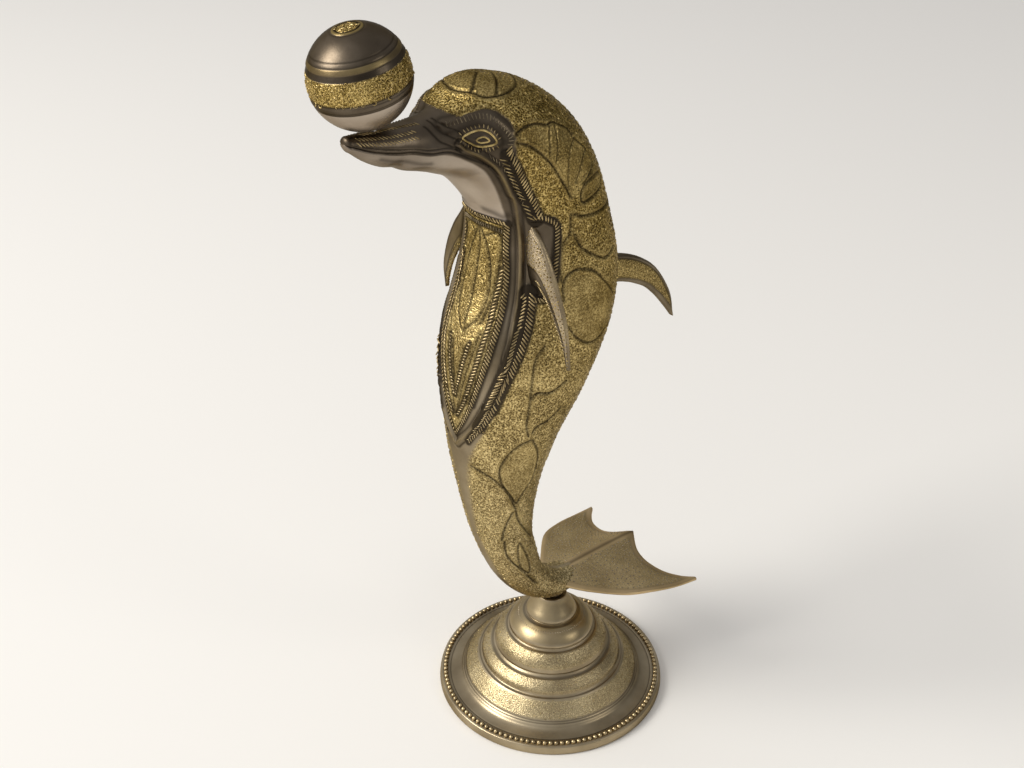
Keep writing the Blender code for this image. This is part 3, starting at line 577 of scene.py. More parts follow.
def relief(points):
    """Height over the form, dark furrow, rubbed edges and painted highlights, and room to the next line.
    """
    left = points.copy()
    left[:, 0] = np.abs(left[:, 0])
    height = np.zeros(len(points))
    dark = np.zeros(len(points))
    rubbed_and_sheen = np.zeros(len(points))
    room = np.ones(len(points))

    def carve(marks, crest, width, furrow, depth, closed=False, shade=0.8, shine=0.0, beside=0.0):
        """One line: its crest's height and width, and its furrow's distance and depth, in millimetres."""
        nonlocal height, dark, rubbed_and_sheen, room
        gap = distance(left, traced(marks, closed), RELIEF_REACH)
        room = np.minimum(room, gap)
        height = height + crest * bell(gap, 0, width) - depth * bell(gap, furrow, width * 0.55)
        dark = np.maximum(dark, shade * bell(gap, furrow, width * 0.5))
        height = height + 0.6 * shine * bell(gap, beside, 0.7)
        rubbed_and_sheen = np.maximum(rubbed_and_sheen, shine * bell(gap, beside, 0.6))

    # The ridge's shine is a painted highlight along its crest.
    carve(RIDGE, 1.2, 1.2, 2.6, 0.6, shade=0.9, shine=0.5)
    carve(THROAT_SHADE, 0.0, 4.6, 0.0, 0.0, shade=0.6)
    carve(LIP, 0.5, 1.2, 0.0, 0.9, shade=0.95)
    carve(LIP_LINE, 0.0, 1.0, 0.0, 0.3, shade=0.75)
    carve(JAW_SHADE, 0.0, 2.8, 0.0, 0.15, shade=0.5)
    for line in CREASES:
        carve(line, 0.0, 1.1, 0.0, 0.45, shade=0.92)
    carve(BROW, 0.6, 2.4, 4.4, 0.25, shade=0.45)
    for line, width in ROPE_BANDS:
        gap = distance(left, traced(line), RELIEF_REACH)
        band = 1 - step(gap / MM, width, 1.2)
        height = height + 0.4 * band
        dark = np.maximum(dark, 0.88 * band)
        room = np.minimum(room, gap)
    for line, closed in LEAF_LINES:
        carve(line, 0.0, 1.5, 0.0, 0.5, closed, shade=0.88, shine=0.6, beside=1.6)
    for line in VEINS:
        carve(line, 0.0, 1.2, 0.0, 0.35, shade=0.7, shine=0.45, beside=1.4)
    eye = distance(left, traced(EYE, True), RELIEF_REACH)
    height = height - 0.3 * bell(eye, 1.6, 0.8)
    return height, dark, rubbed_and_sheen, np.clip(room / ROOM_SCALE, 0, 1)


print("leaf lines", len(LEAF_LINES), "veins", len(VEINS))

# %% [markdown]
# ## The skin
# A flat sheet is rolled round the ribs like wax round a mandrel. Its columns are spread so that its
# cells stay near a millimetre square, its two long edges are merged, and its ends are drawn in to a
# point, so that the finished skin is closed.

# %% Rolling a sheet round a form
def rolled_sheet(name, across, along, shape, material):
    """Adds a grid, lays it out by shape(u, v), writes its attributes and merges its seams."""
    bpy.ops.object.select_all(action="DESELECT")
    bpy.ops.mesh.primitive_grid_add(x_subdivisions=across, y_subdivisions=along, size=2)
    piece = bpy.context.object
    piece.name = name
    piece.data.name = name
    flat = np.empty(len(piece.data.vertices) * 3)
    piece.data.vertices.foreach_get("co", flat)
    u, v = (flat.reshape(-1, 3)[:, :2] + 1).T / 2
    points, shares = shape(u, v)
    piece.data.vertices.foreach_set("co", np.ascontiguousarray(points).ravel())
    for key in ("gold", "dark", "pale_reflection", "rubbed_and_sheen", "room"):
        values = np.clip(shares.get(key, np.full(len(u), float(key == "room"))), 0, 1)
        piece.data.attributes.new(key, "FLOAT", "POINT").data.foreach_set("value", values)
    close_up(piece)
    piece.data.materials.append(material)
    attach(piece, "root")
    print(name, "has", len(piece.data.polygons), "faces")
    return piece


SEAM_THRESHOLD = 0.004 * MM


def close_up(piece, merge=True):
    """Merges the seams of a piece, turns its faces outwards and smooths its shading."""
    bpy.ops.object.select_all(action="DESELECT")
    piece.select_set(True)
    bpy.context.view_layer.objects.active = piece
    bpy.ops.object.mode_set(mode="EDIT")
    bpy.ops.mesh.select_all(action="SELECT")
    if merge:
        bpy.ops.mesh.remove_doubles(threshold=SEAM_THRESHOLD)
        bpy.ops.mesh.select_all(action="SELECT")
    bpy.ops.mesh.normals_make_consistent(inside=False)
    bpy.ops.object.mode_set(mode="OBJECT")
    bpy.ops.object.shade_smooth()

# %% [markdown]
# The skin is made as three stretches that meet at two ribs. Each is closed by itself. One long sheet
# with cells this fine would be too heavy for a single piece.

# %% Skin of the body
def even_numbers(first, last, count):
    """Rib numbers that lie evenly along the body's side between two ribs."""
    fine = np.linspace(first, last, 2000)
    path = (form(fine, np.full(2000, 90.0)) + form(fine, np.full(2000, 0.0))) / 2
    travelled = np.concatenate([[0], np.cumsum(np.linalg.norm(np.diff(path, axis=0), axis=1))])
    return np.interp(np.linspace(0, travelled[-1], count), travelled, fine)


END_ROWS = 7
LONG_ROWS = 262


def make_stretch(name, first, last):
    """The dolphin's skin between two ribs, closed at both ends: the form, its relief and its fields."""
    spread = even_numbers(first, last, LONG_ROWS + 1)

    def shape(u, v):
        row = v * (LONG_ROWS + 2 * END_ROWS)
        number = np.interp(row, np.arange(LONG_ROWS + 1) + END_ROWS, spread)
        degrees = 360 * (u % 1)
        points, out = form(number, degrees), outward(number, degrees)
        height, dark, rubbed_and_sheen, room = relief(points)
        gold, pale_reflection, leaf = fields(number, degrees)
        points = points + out * (height * MM)[:, None]
        for end, shut in ((first, END_ROWS - row), (last, row - LONG_ROWS - END_ROWS)):
            depth = 3.0 if end in (0, LAST_RIB) else 0.0
            middle = form(np.array([end]), np.array([90.0]))[0] * np.array((0, 1, 1))
            inner = form(np.array([abs(end - 0.2)]), np.array([90.0]))[0] * np.array((0, 1, 1))
            turn = np.clip(shut / END_ROWS, 0, 1) * math.pi / 2
            drawn_in = middle + (points - middle) * np.cos(turn)[:, None]
            drawn_in = drawn_in + unit(middle - inner) * (np.sin(turn) * depth * MM)[:, None]
            points = np.where((shut > 0)[:, None], drawn_in, points)
        rubbed_and_sheen = np.maximum(rubbed_and_sheen, 0.45 * leaf)
        return points, {"gold": gold, "dark": dark, "pale_reflection": pale_reflection, "rubbed_and_sheen": rubbed_and_sheen, "room": room}

    stretch = rolled_sheet(name, 360, LONG_ROWS + 2 * END_ROWS, shape, ENGRAVED)
    stretch.data.set_sharp_from_angle(angle=math.radians(75))
    return stretch


skins = [
    make_stretch("tail_skin", 0, 8.2), make_stretch("trunk_skin", 8.2, 12.4),
    make_stretch("head_skin", 12.4, LAST_RIB),
]

# %% [markdown]
# ## Strokes, curls and beads
# The borders look like twisted rope because each is a row of slanting strokes, left standing while the
# ground beside them was cut down. One small bead is modelled once, and each row is cast from it: every
# copy gets its own place, direction and size. Rows are settled on the finished skin, so that they
# follow its relief.

# %% Casting copies of one small shape
def template_from_primitive(add, **options):
    """Points and faces of a primitive of radius one, which is then removed."""
    bpy.ops.object.select_all(action="DESELECT")
    add(**options)
    made = bpy.context.object
    points = np.array([v.co[:] for v in made.data.vertices])
    faces = [tuple(p.vertices) for p in made.data.polygons]
    bpy.data.objects.remove(made, do_unlink=True)
    return points, faces


def cast(name, template, spots, ahead, out, sizes, material, slot="engraved_brass"):
    """One piece that holds a copy of the template at every spot, sized (length, width, height) in mm."""
    points, faces = template
    ahead = unit(ahead - out * np.einsum("ij,ij->i", ahead, out)[:, None])
    side = np.cross(out, ahead)
    sizes = np.broadcast_to(np.array(sizes, float), (len(spots), 3)) * MM / 2
    copies = (
        spots[:, None]
        + points[None, :, 0, None] * (ahead * sizes[:, :1])[:, None]
        + points[None, :, 1, None] * (side * sizes[:, 1:2])[:, None]
        + points[None, :, 2, None] * (out * sizes[:, 2:])[:, None]
    )
    count = len(points)
    all_faces = [[k * count + n for n in face] for k in range(len(spots)) for face in faces]
    mesh = bpy.data.meshes.new(name)
    mesh.from_pydata(copies.reshape(-1, 3).tolist(), [], all_faces)
    piece = bpy.data.objects.new(name, mesh)
    bpy.context.scene.collection.objects.link(piece)
    piece.data.materials.append(material)
    close_up(piece, merge=False)
    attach(piece, "root")
    print(name, "holds", len(spots), "copies")
    return piece


BEAD = template_from_primitive(bpy.ops.mesh.primitive_uv_sphere_add, segments=8, ring_count=5)
print("bead faces", len(BEAD[1]))

# %% [markdown]
# A stroke laid on the plain form would hang over a furrow or drown in a crest. So each is dropped onto
# the finished skin, which is asked for its nearest place and the direction that points out of it.

# %% Settling on the skin
class Tree:
    """The finished skin, ready to be asked for its nearest place."""

    def __init__(self, pieces):
        corners, faces = [], []
        for piece in pieces:
            start = len(corners)
            corners += [v.co for v in piece.data.vertices]
            faces += [tuple(start + n for n in p.vertices) for p in piece.data.polygons]
        self.tree = BVHTree.FromPolygons(corners, faces)

    def settle(self, spots):
        found = [self.tree.find_nearest(Vector(spot)) for spot in spots]
        return np.array([hit[0] for hit in found]), np.array([hit[1] for hit in found])


SKIN_TREE = Tree(skins)
print("the skin comes nearest to the foot at", SKIN_TREE.settle([(0, AXIS_Y, FOOT_TOP)])[0][0].round(4))

# %% [markdown]
# Ropes run down from behind each eye, round the pocket of each flipper, down both sides beside the
# smooth ridge and round the belly panel. Where two rows lie side by side their strokes slant against
# each other and make a herringbone. Lashes and feather strokes are the same bead, drawn out long.

# %% Rows of strokes
def stations(marks, pitch, closed=False):
    """Evenly spaced spots along a line, with the direction of the line there."""
    line = traced(marks, closed)
    if closed:
        line = np.vstack([line, line[:1]])
    travelled = np.concatenate([[0], np.cumsum(np.linalg.norm(np.diff(line, axis=0), axis=1))])
    count = max(2, round(travelled[-1] / (pitch * MM)))
    where = (np.arange(count) + 0.5) / count * travelled[-1]

    def spot(walked):
        return np.stack([np.interp(walked, travelled, line[:, k]) for k in range(3)], -1)

    return spot(where), unit(spot(where + 0.3 * MM) - spot(where - 0.3 * MM))


def stroke_row(marks, offset, width, slant, pitch, thick, high, closed=False, taper=1.0):
    """Spots, directions and sizes of one row of strokes on each side of the body."""
    rows = []
    for mirror in (1, -1):
        flip = np.array((mirror, 1, 1))
        spots, ahead = stations(marks, pitch, closed)
        spots, out = SKIN_TREE.settle(spots * flip)
        ahead = ahead * flip
        side = unit(np.cross(ahead, out)) * mirror
        shrink = np.interp(np.linspace(0, 1, len(spots)), (0.6, 1), (1, taper))[:, None]
        spots, out = SKIN_TREE.settle(spots + side * offset * MM * shrink)
        turn = math.radians(slant)
        sizes = np.array((width / max(abs(math.sin(turn)), 0.3), thick, high)) * shrink ** (1, 0.4, 0.4)
        rows.append((spots, ahead * math.cos(turn) + side * math.sin(turn), out, sizes))
    return rows


def gather(*rows):
    """Joins rows of strokes into four long arrays."""
    flat = [row for group in rows for row in group]
    return [np.concatenate(column) for column in zip(*flat)]


print("a rope beside the eye holds", len(stations(EYE_ROPE, 2.0)[0]), "strokes")

# %% [markdown]
# The ropes are rubbed bright. The feather strokes below the eye, the short ticks of the brow and the
# inner row of the panel's top lie lower and stay dull.

# %% Ropes and dull strokes
FEATHER_LINES = [
    [(14.6, 110), (14.1, 116), (13.5, 122), (12.9, 127), (12.3, 129.5)],
]
BEAK_LINES = [
    [(20.8, 72), (20.16, 67), (19.32, 66), (18.6, 64), (18.1, 64)],
    [(20.8, 43), (20.36, 43), (19.6, 46), (18.88, 47), (18.3, 45)],
    [(20.5, 14), (19.4, 16), (18.5, 22), (18.1, 26)],
]

ropes = gather(
    stroke_row(EYE_ROPE, -2.4, 4.0, 52, 2.0, 1.0, 1.1),
    stroke_row(EYE_ROPE[1:], 2.3, 3.4, 140, 2.9, 0.75, 0.8),
    stroke_row(SIDE_ROPE, -2.4, 4.2, 128, 2.05, 1.05, 1.1, taper=0.35),
    stroke_row(SIDE_ROPE, 2.4, 4.2, 52, 2.05, 1.05, 1.05, taper=0.35),
    stroke_row(FIN_BOX, 0, 3.3, 58, 1.9, 0.95, 1.1),
    stroke_row(PANEL_TOP, 0, 3.2, 55, 1.9, 1.05, 1.2),
    stroke_row(PANEL_EDGE, 0, 3.8, 128, 2.05, 1.05, 1.15, taper=0.4),
    stroke_row(PANEL_EDGE_INNER, 0, 3.2, 52, 2.05, 0.95, 1.0, taper=0.6),
    stroke_row(BEAD_STRIP, 0, 2.2, 75, 1.9, 1.0, 0.9),
    *(stroke_row(line, 0, 2.2, 38, 1.9, 0.6, 0.7) for line in BEAK_LINES),
)
rope_strokes = cast("rope_strokes", BEAD, *ropes, ROPE_GOLD)
ticks = gather(
    stroke_row(PANEL_TOP_INNER, 0, 2.6, 80, 1.6, 0.7, 0.8),
    stroke_row(BROW, 0.4, 3.4, 80, 1.8, 0.7, 0.5),
    *(stroke_row(line, 0, 2.0, 35, 2.3, 0.6, 0.7) for line in FEATHER_LINES),
)
fine_strokes = cast("fine_strokes", BEAD, *ticks, DULL_STROKE)

# %% [markdown]
# ## Eyes
# Each eye is two almonds of raised brass, one inside the other, with short lashes all round. The
# almonds are wires: a curve with a round bevel, turned into a mesh and half sunk in the skin.

# %% Eye wires and lashes
def lay_wires(name, lines, radius, mirror, material):
    """Round wires that lie half sunk in the skin. Each line is its marks, and whether it is closed."""
    curve = bpy.data.curves.new(name, "CURVE")
    curve.dimensions = "3D"
    for marks, closed in lines:
        spots, out = SKIN_TREE.settle(stations(marks, 0.9, closed)[0] * np.array((mirror, 1, 1)))
        spline = curve.splines.new("POLY")
        spline.points.add(len(spots) - 1)
        for k, (point, spot) in enumerate(zip(spline.points, spots)):
            point.co = (*spot, 1)
            fade = 1 if closed else min(1, (min(k, len(spots) - 1 - k) + 1) / 5)
            point.radius = fade
        spline.use_cyclic_u = closed
    curve.bevel_depth = radius * MM
    curve.bevel_resolution = 1
    curve.use_fill_caps = True
    wire = bpy.data.objects.new(name, curve)
    bpy.context.scene.collection.objects.link(wire)
    bpy.ops.object.select_all(action="DESELECT")
    wire.select_set(True)
    bpy.context.view_layer.objects.active = wire
    bpy.ops.object.convert(target="MESH")
    wire.data.materials.clear()
    wire.data.materials.append(material)
    close_up(wire)
    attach(wire, "root")
    return wire


covers_body = [*skins, rope_strokes, fine_strokes]
for side_name, mirror in (("left", 1), ("right", -1)):
    covers_body.append(lay_wires("eye_ring_" + side_name, [(EYE, True)], 0.6, mirror, RUBBED_GOLD))
    covers_body.append(lay_wires("iris_ring_" + side_name, [(IRIS, True)], 0.45, mirror, RUBBED_GOLD))
lashes = gather(stroke_row(EYE, -1.9, 2.4, 80, 1.7, 0.6, 0.7, closed=True))
covers_body.append(cast("eye_lashes", BEAD, *lashes, ROPE_GOLD))
print("eyes are in")

# %% [markdown]
# ## Fluke and fins
# A fin is a leaf of metal with a rounded section. It is a sheet again, rolled round chords that run
# from the leading edge to the trailing edge. Smooth borders frame an engraved field, and the fluke has
# a furrow down its middle where its two halves meet.

# %% Chords of the fins
FLUKE_RIBS = [
    (8, 0, 14, -74, 0, 12.5), (0, 12, 12, -66.5, 11, 8.5), (-11, 24, 9.5, -65, 19, 5.5),
    (-28, 40, 8, -66.5, 27, 3), (-46, 46.5, 5, -70, 35.5, 1), (-65, 50, 1, -76, 43, -0.5),
    (-83, 51.5, -1.5, -82.5, 49, -1.5),
]
DORSAL_RIBS = [
    (-22, 0, 234, -22, 0, 214), (-42, 0, 231, -43, 0, 212.5), (-54, 0, 227.5, -53.5, 0, 209.5),
    (-66, 0, 221.5, -62, 0, 205.5), (-77, 0, 213, -71, 0, 200), (-86, 0, 201.5, -80, 0, 191.5),
    (-93, 0, 188.5, -88.5, 0, 181.5), (-97, 0, 172, -95.5, 0, 172.5),
]
FLIPPER_RIBS = [
    (41, 20, 288, 43, 24, 249), (42, 28, 281, 45, 35, 251), (42, 34, 275.5, 45, 38, 249.5),
    (42, 40, 266.5, 44.5, 41, 246), (41.5, 45, 255, 43.5, 44, 239.5), (41, 50, 242, 43, 48, 231),
    (41, 53.5, 229, 42.5, 52, 222), (41.5, 56, 209.5, 41.5, 54.5, 210),
]
RIGHT_FLIPPER_RIBS = [
    (41, -18, 293, 43, -21.5, 254), (42, -24, 285.5, 45, -27, 252.5), (42, -28, 279, 45, -29.5, 251.5),
    (42, -33, 271.5, 44.5, -32.5, 249.5), (41.5, -40.5, 261.5, 43.5, -36.5, 244.5),
    (41, -47.5, 248, 43, -41.5, 236), (41, -51.5, 232, 42.5, -45.5, 226),
    (41.5, -49.5, 218.5, 41.5, -48, 219),
]

print("chords of the fluke", len(FLUKE_RIBS), "dorsal fin", len(DORSAL_RIBS), "flipper", len(FLIPPER_RIBS))

# %% [markdown]
# Every blade is rolled in the same way, and thins out towards its tip. Only its face differs, so the
# function that lays it out takes the face as a function of its own.

# %% Rolling a blade
def make_blade(
    name, ribs, thickness, across, field, both_sides=False, along=150, material=FINE_ENGRAVED,
):
    """A fin rolled round its chords. field(s, span, chord, spots) gives its relief and its shares."""
    rows = flow(ribs, 24)
    longest = np.linalg.norm(rows[:, :3] - rows[:, 3:], axis=1).max()
    if both_sides:
        rows = np.vstack([(rows * (1, -1, 1, 1, -1, 1))[:0:-1], rows])

    def shape(u, v):
        t = np.clip((v * (along + 6) - 3) / along, 0, 1) * (len(rows) - 1)
        row = np.stack([np.interp(t, np.arange(len(rows)), rows[:, k]) for k in range(6)], -1)
        lead, trail = place(*row[:, :3].T), place(*row[:, 3:].T)
        chord = np.linalg.norm(row[:, :3] - row[:, 3:], axis=1)
        half = thickness / 2 * np.maximum(chord / longest, 0.15) ** 0.4 * MM
        turn = 2 * math.pi * (u % 1)
        s = (1 - np.cos(turn)) / 2
        rise = np.sign(np.sin(turn)) * np.abs(np.sin(turn)) ** 0.6
        spots = lead + (trail - lead) * s[:, None]
        height, shares = field(s, t / (len(rows) - 1), chord, spots)
        spots = spots + np.array(across) * (rise * half * (1 + height))[:, None]
        ends = np.clip(np.abs(v - 0.5) * (along + 6) - along / 2, 0, 3) / 3
        middle = (lead + trail) / 2
        spots = middle + (spots - middle) * np.sqrt(np.maximum(1 - ends**2, 0))[:, None]
        return spots, shares

    return rolled_sheet(name, 72, along + 6, shape, material)

# %% [markdown]
# A face is written for the share across the chord, s, and the share along the fin, span. The left
# flipper is seen from near by and has the richest face; the right one was left nearly plain.

# %% Faces of the fins
def fluke_field(s, span, chord, spots):
    """Smooth borders, punched fields and the furrow between the two halves."""
    edge = np.minimum(s, 1 - s) * chord
    rim = np.minimum(edge, (0.5 - np.abs(span - 0.5)) * 150)
    middle = np.abs(spots[:, 0]) / MM
    gold = step(rim, 4.6, 2.0) * step(middle, 3.2, 1.4)
    furrow = bell(middle * MM, 0.0, 1.5)
    height = -0.35 * furrow - 0.12 * bell(rim * MM, 4.6, 1.1)
    dark = np.maximum(0.6 * furrow, 0.22 * bell(rim * MM, 4.4, 1.2))
    return height, {"gold": 0.45 * gold, "dark": dark, "rubbed_and_sheen": 0.15 * gold}


def fin_field(s, span, chord, spots):
    """A pale smooth leading edge, a punched face and a dark seam where the fin leaves the body."""
    edge = np.minimum(s * chord, (1 - s) * chord * 0.8)
    gap = np.array([SKIN_TREE.tree.find_nearest(Vector(spot))[3] for spot in spots])
    rim = np.minimum(edge, (1 - span) * 90)
    gold = step(rim, 2.6, 1.2)
    height = -0.12 * bell(rim * MM, 2.6, 0.8)
    seam = bell(gap, 0.0, 1.6)
    dark = np.maximum(0.9 * seam, 0.55 * bell(rim * MM, 2.5, 0.6))
    return height, {"gold": gold, "dark": dark, "rubbed_and_sheen": 0.15 * gold}


def flipper_field(s, span, chord, spots):
    """The flipper's face: a rubbed rim and a punched leaf, both with a painted highlight, a furrow and a
    plain inner strip.
    """
    height, shares = fin_field(s, span, chord, spots)
    leaf = step(s, 0.1, 0.05) * (1 - step(s, 0.66, 0.04))
    rim = 1 - step(s, 0.1, 0.05)
    shares["gold"] = 0.85 * leaf + rim
    shares["rubbed_and_sheen"] = 0.7 * rim + 0.25 * leaf
    # A painted highlight on the leaf and the rim.
    shares["pale_reflection"] = 0.5 * leaf + 0.4 * rim
    shares["dark"] = np.maximum(0.9 * bell((s - 0.68) * chord * MM, 0, 0.7), 0.3 * step(s, 0.7, 0.04))
    shares["dark"] = np.maximum(shares["dark"], 0.4 * bell((s - 0.12) * chord * MM, 0, 0.5))
    return height, shares


def far_flipper_field(s, span, chord, spots):
    """The right flipper, which is left plain but for a furrow near its inner edge."""
    height, shares = fin_field(s, span, chord, spots)
    shares["dark"] = np.maximum(shares["dark"], 0.7 * bell((s - 0.72) * chord * MM, 0, 0.6))
    shares["gold"] = 0.5 * step(s, 0.76, 0.05)
    return height, shares


fluke = make_blade(
    "fluke", FLUKE_RIBS, 6, (0, 0, 1), fluke_field, both_sides=True, along=220, material=FLUKE_SKIN,
)
dorsal = make_blade("dorsal_skin", DORSAL_RIBS, 7, (1, 0, 0), fin_field)
left_flipper = make_blade("flipper_skin_left", FLIPPER_RIBS, 5.5, (0, -1, 0), flipper_field)
right_flipper = make_blade(
    "flipper_skin_right", RIGHT_FLIPPER_RIBS, 5.5, (0, -1, 0), far_flipper_field,
)
covers_body.append(fluke)

# %% [markdown]
# The plain inner strip of the left flipper carries a single row of slanting strokes. They lie near the
# trailing end of its chords, so their places are taken from the same chords, moved out in front of the
# flipper and settled on its skin.

# %% Strokes of the flipper
STRIP_SHARE = 0.86
IN_FRONT = np.array((0, 5 * MM, 0))
SLANT_OUT = np.array((2 * MM, 0, 0))
strip = flow(FLIPPER_RIBS, 24)[24:150:5]
strip_spots = place(*(strip[:, :3] + (strip[:, 3:] - strip[:, :3]) * STRIP_SHARE).T) - IN_FRONT
strip_spots, strip_out = Tree([left_flipper]).settle(strip_spots)
strip_ahead = np.gradient(strip_spots, axis=0) + SLANT_OUT
strip_strokes = cast(
    "flipper_strokes", BEAD, strip_spots, strip_ahead, strip_out, (2.6, 0.9, 0.8), ROPE_GOLD,
)

# %% [markdown]
# ## Ball
# The ball was turned on a lathe and engraved while it still turned, so all its borders are circles
# round one axis, which leans forward. Its sheet is rolled round that axis, and every border is written
# as degrees from the upper pole.

# %% Ball
ball_low, ball_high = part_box("ball")
BALL_CENTRE = np.array([(a + b) / 2 for a, b in zip(ball_low, ball_high)])
BALL_RADIUS = (ball_high[2] - ball_low[2]) / 2
STROKE_RADIUS = BALL_RADIUS - 0.5 * MM
BALL_GROOVES = ((12.3, 14.2), (17.8, 19.6), (63.5, 70.5), (97.5, 100))
BALL_LINES = (50.8, 56.4, 96.8, 105.5, 107.5)
LEAN = np.array(Matrix.Rotation(math.radians(12), 3, "X"))


def on_ball(down, turn, radius=BALL_RADIUS):
    """Points of the ball: degrees from its upper pole, and degrees round its axis."""
    down, turn = np.radians(down), np.radians(turn)
    local = np.stack([np.sin(down) * np.cos(turn), np.sin(down) * np.sin(turn), np.cos(down)], -1)
    return BALL_CENTRE + (local * np.asarray(radius)[..., None]) @ LEAN.T


def ball_shape(u, v):
    """The turned ball with its grooves and bands."""
    down = 180 * v

    def inside(low, high, soft):
        return step(down, low, soft) * (1 - step(down, high, soft))

    grooves = sum(inside(low, high, 0.9) for low, high in BALL_GROOVES)
    lines = sum(bell((down - at) * math.pi / 180 * BALL_RADIUS, 0, 0.28) for at in BALL_LINES)
    gold = inside(0, 12, 1) + inside(71, 96.5, 1)
    radius = BALL_RADIUS - (0.1 + 0.35 * grooves + 0.2 * np.minimum(lines, 1) + 0.35 * gold) * MM
    rubbed_and_sheen = inside(14.6, 17.4, 1) + 0.5 * inside(57, 63, 1)
    dark = 0.45 * inside(63.5, 70.5, 1) + 0.8 * inside(12.3, 14.2, 0.8) + 0.7 * np.minimum(lines, 1)
    # The lower half of the ball gets a pale tone: a painted reflection of the pale floor.
    shares = {"gold": gold, "rubbed_and_sheen": rubbed_and_sheen, "dark": dark, "pale_reflection": 0.85 * inside(108.5, 190, 1)}
    return on_ball(down, 360 * (u % 1), radius), shares


ball_skin = rolled_sheet("ball_skin", 180, 200, ball_shape, FINE_ENGRAVED)

# %% [markdown]
# The punch marks of the ball stand in rings as well: a milled edge, leaning ticks, sprigs of three
# strokes and a little flower on the upper pole.

# %% Strokes of the ball
def ball_row(down, pitch, length, slant, thick, high, start=0.0):
    """A row of strokes round the ball."""
    count = round(2 * math.pi * BALL_RADIUS * math.sin(math.radians(down)) / (pitch * MM))
    turn = (np.arange(count) + start) / count * 360
    spots = on_ball(np.full(count, float(down)), turn, STROKE_RADIUS)
    out = unit(spots - BALL_CENTRE)
    round_it = unit(on_ball(np.full(count, float(down)), turn + 1, STROKE_RADIUS) - spots)
    to_pole = np.cross(out, round_it)
    lean = math.radians(slant)
    sizes = np.tile((length, thick, high), (count, 1))
    return [(spots, round_it * math.sin(lean) + to_pole * math.cos(lean), out, sizes)]


sprigs = []
for down, pitch, start in ((27, 8, 0.2), (42, 12, 0.65), (112, 12, 0.1), (124, 12, 0.5)):
    for slant, length in ((-38, 2.3), (0, 3.0), (38, 2.3)):
        sprigs += ball_row(down, pitch, length, slant, 0.6, 0.5, start + slant / 300)
flower = [row for k in range(3) for row in ball_row(5.5, 2.2 + k, 2.6, 60 * k, 0.6, 0.8)]
ball_ticks = gather(
    ball_row(60, 1.5, 3.0, 0, 0.85, 0.8), ball_row(102.8, 1.3, 1.9, 0, 0.6, 0.6),
    ball_row(15.9, 0.9, 1.4, 50, 0.4, 0.6), sprigs, flower,
)
ball_strokes = cast("ball_strokes", BEAD, *ball_ticks, RUBBED_GOLD)

# %% [markdown]
# ## Foot
# The foot was spun on the lathe as well: a bell-shaped neck, three steps and a dish with a beaded rim,
# all hollow below. Its section is written as radius and height, and the sheet is rolled round the
# axis. The beads are separate small balls, as they were punched one by one.

# %% Foot
FOOT_UPPER = [
    (4.4, 71.5), (9.5, 71.5), (11, 68), (13.4, 64), (15.7, 60.5), (16.7, 58), (16, 56.8), (19, 56.2),
    (24, 53), (27.5, 48.5), (28, 45.5), (31, 44.4), (35, 40), (37.3, 34.5), (37.3, 32.6), (41, 30.5),
    (45, 26.5), (46.3, 22.8), (49, 21.7), (56, 13.6), (58.5, 10.8), (61, 8.2), (67, 6.4),
    (73.2, 6.4), (74.5, 5), (75, 1.4), (74.3, 0),
]
FOOT_UNDER = [
    (74.3, 0), (63.8, 0), (63.8, 3.2), (52.8, 10.4), (41.8, 23.3), (34.1, 31.3), (24.8, 42.3),
    (13, 50), (4.4, 50), (4.4, 71.5),
]
FOOT_GROOVES = [17.6, 18.4, 29.3, 38.6, 39.4, 47.6, 57.6, 58.6, 67.6]
upper = flow(FOOT_UPPER[1:], 14)
section = np.vstack([[FOOT_UPPER[0]], upper, FOOT_UNDER[1:]])
walked = np.concatenate([[0], np.cumsum(np.linalg.norm(np.diff(section, axis=0), axis=1))])
UPPER_LENGTH = walked[len(upper)]


def turned_point(radius, height, turn):
    """Points on a circle round the foot's axis, from millimetres and degrees."""
    turn = np.radians(turn)
    return np.stack([
        radius * MM * np.cos(turn), AXIS_Y + radius * MM * np.sin(turn), height * MM + 0 * turn,
    ], -1)


def foot_shape(u, v):
    """The spun foot: its section round the axis, with grooves and engraved bands above."""
    under = UPPER_LENGTH + (v - 0.75) * 4 * (walked[-1] - UPPER_LENGTH)
    along = np.where(v < 0.75, v / 0.75 * UPPER_LENGTH, under)
    radius, height = (np.interp(along, walked, section[:, k]) for k in range(2))
    top = (along < UPPER_LENGTH) & (radius < 73)
    groove = sum(bell((radius - r) * MM, 0, 0.3) for r in FOOT_GROOVES) * top
    ahead = [np.interp(along + 0.2, walked, section[:, k]) for k in range(2)]
    slope = unit(np.stack([ahead[0] - radius, ahead[1] - height], -1))
    radius = radius + slope[:, 1] * 0.3 * groove
    height = height - slope[:, 0] * 0.3 * groove

    def within(low, high, soft=0.8):
        return step(radius, low, soft) * (1 - step(radius, high, soft)) * top

    gold = 0.5 * within(30.5, 36.6) + 0.45 * within(40.2, 45.8) + 0.55 * within(49.3, 56.8)
    dark = 0.6 * groove + 0.2 * within(59.5, 69) + 0.5 * within(69, 72.6, 0.5)
    rubbed_and_sheen = 0.35 * within(19, 27) + 0.25 * within(10, 16)
    shares = {"gold": gold, "dark": dark, "rubbed_and_sheen": rubbed_and_sheen}
    return turned_point(radius, height, 360 * (u % 1)), shares


foot_skin = rolled_sheet("foot_skin", 240, 330, foot_shape, FINE_ENGRAVED)

# %% [markdown]
# The beads of the rim and the fine ticks round the neck are each set in an even ring round the axis.

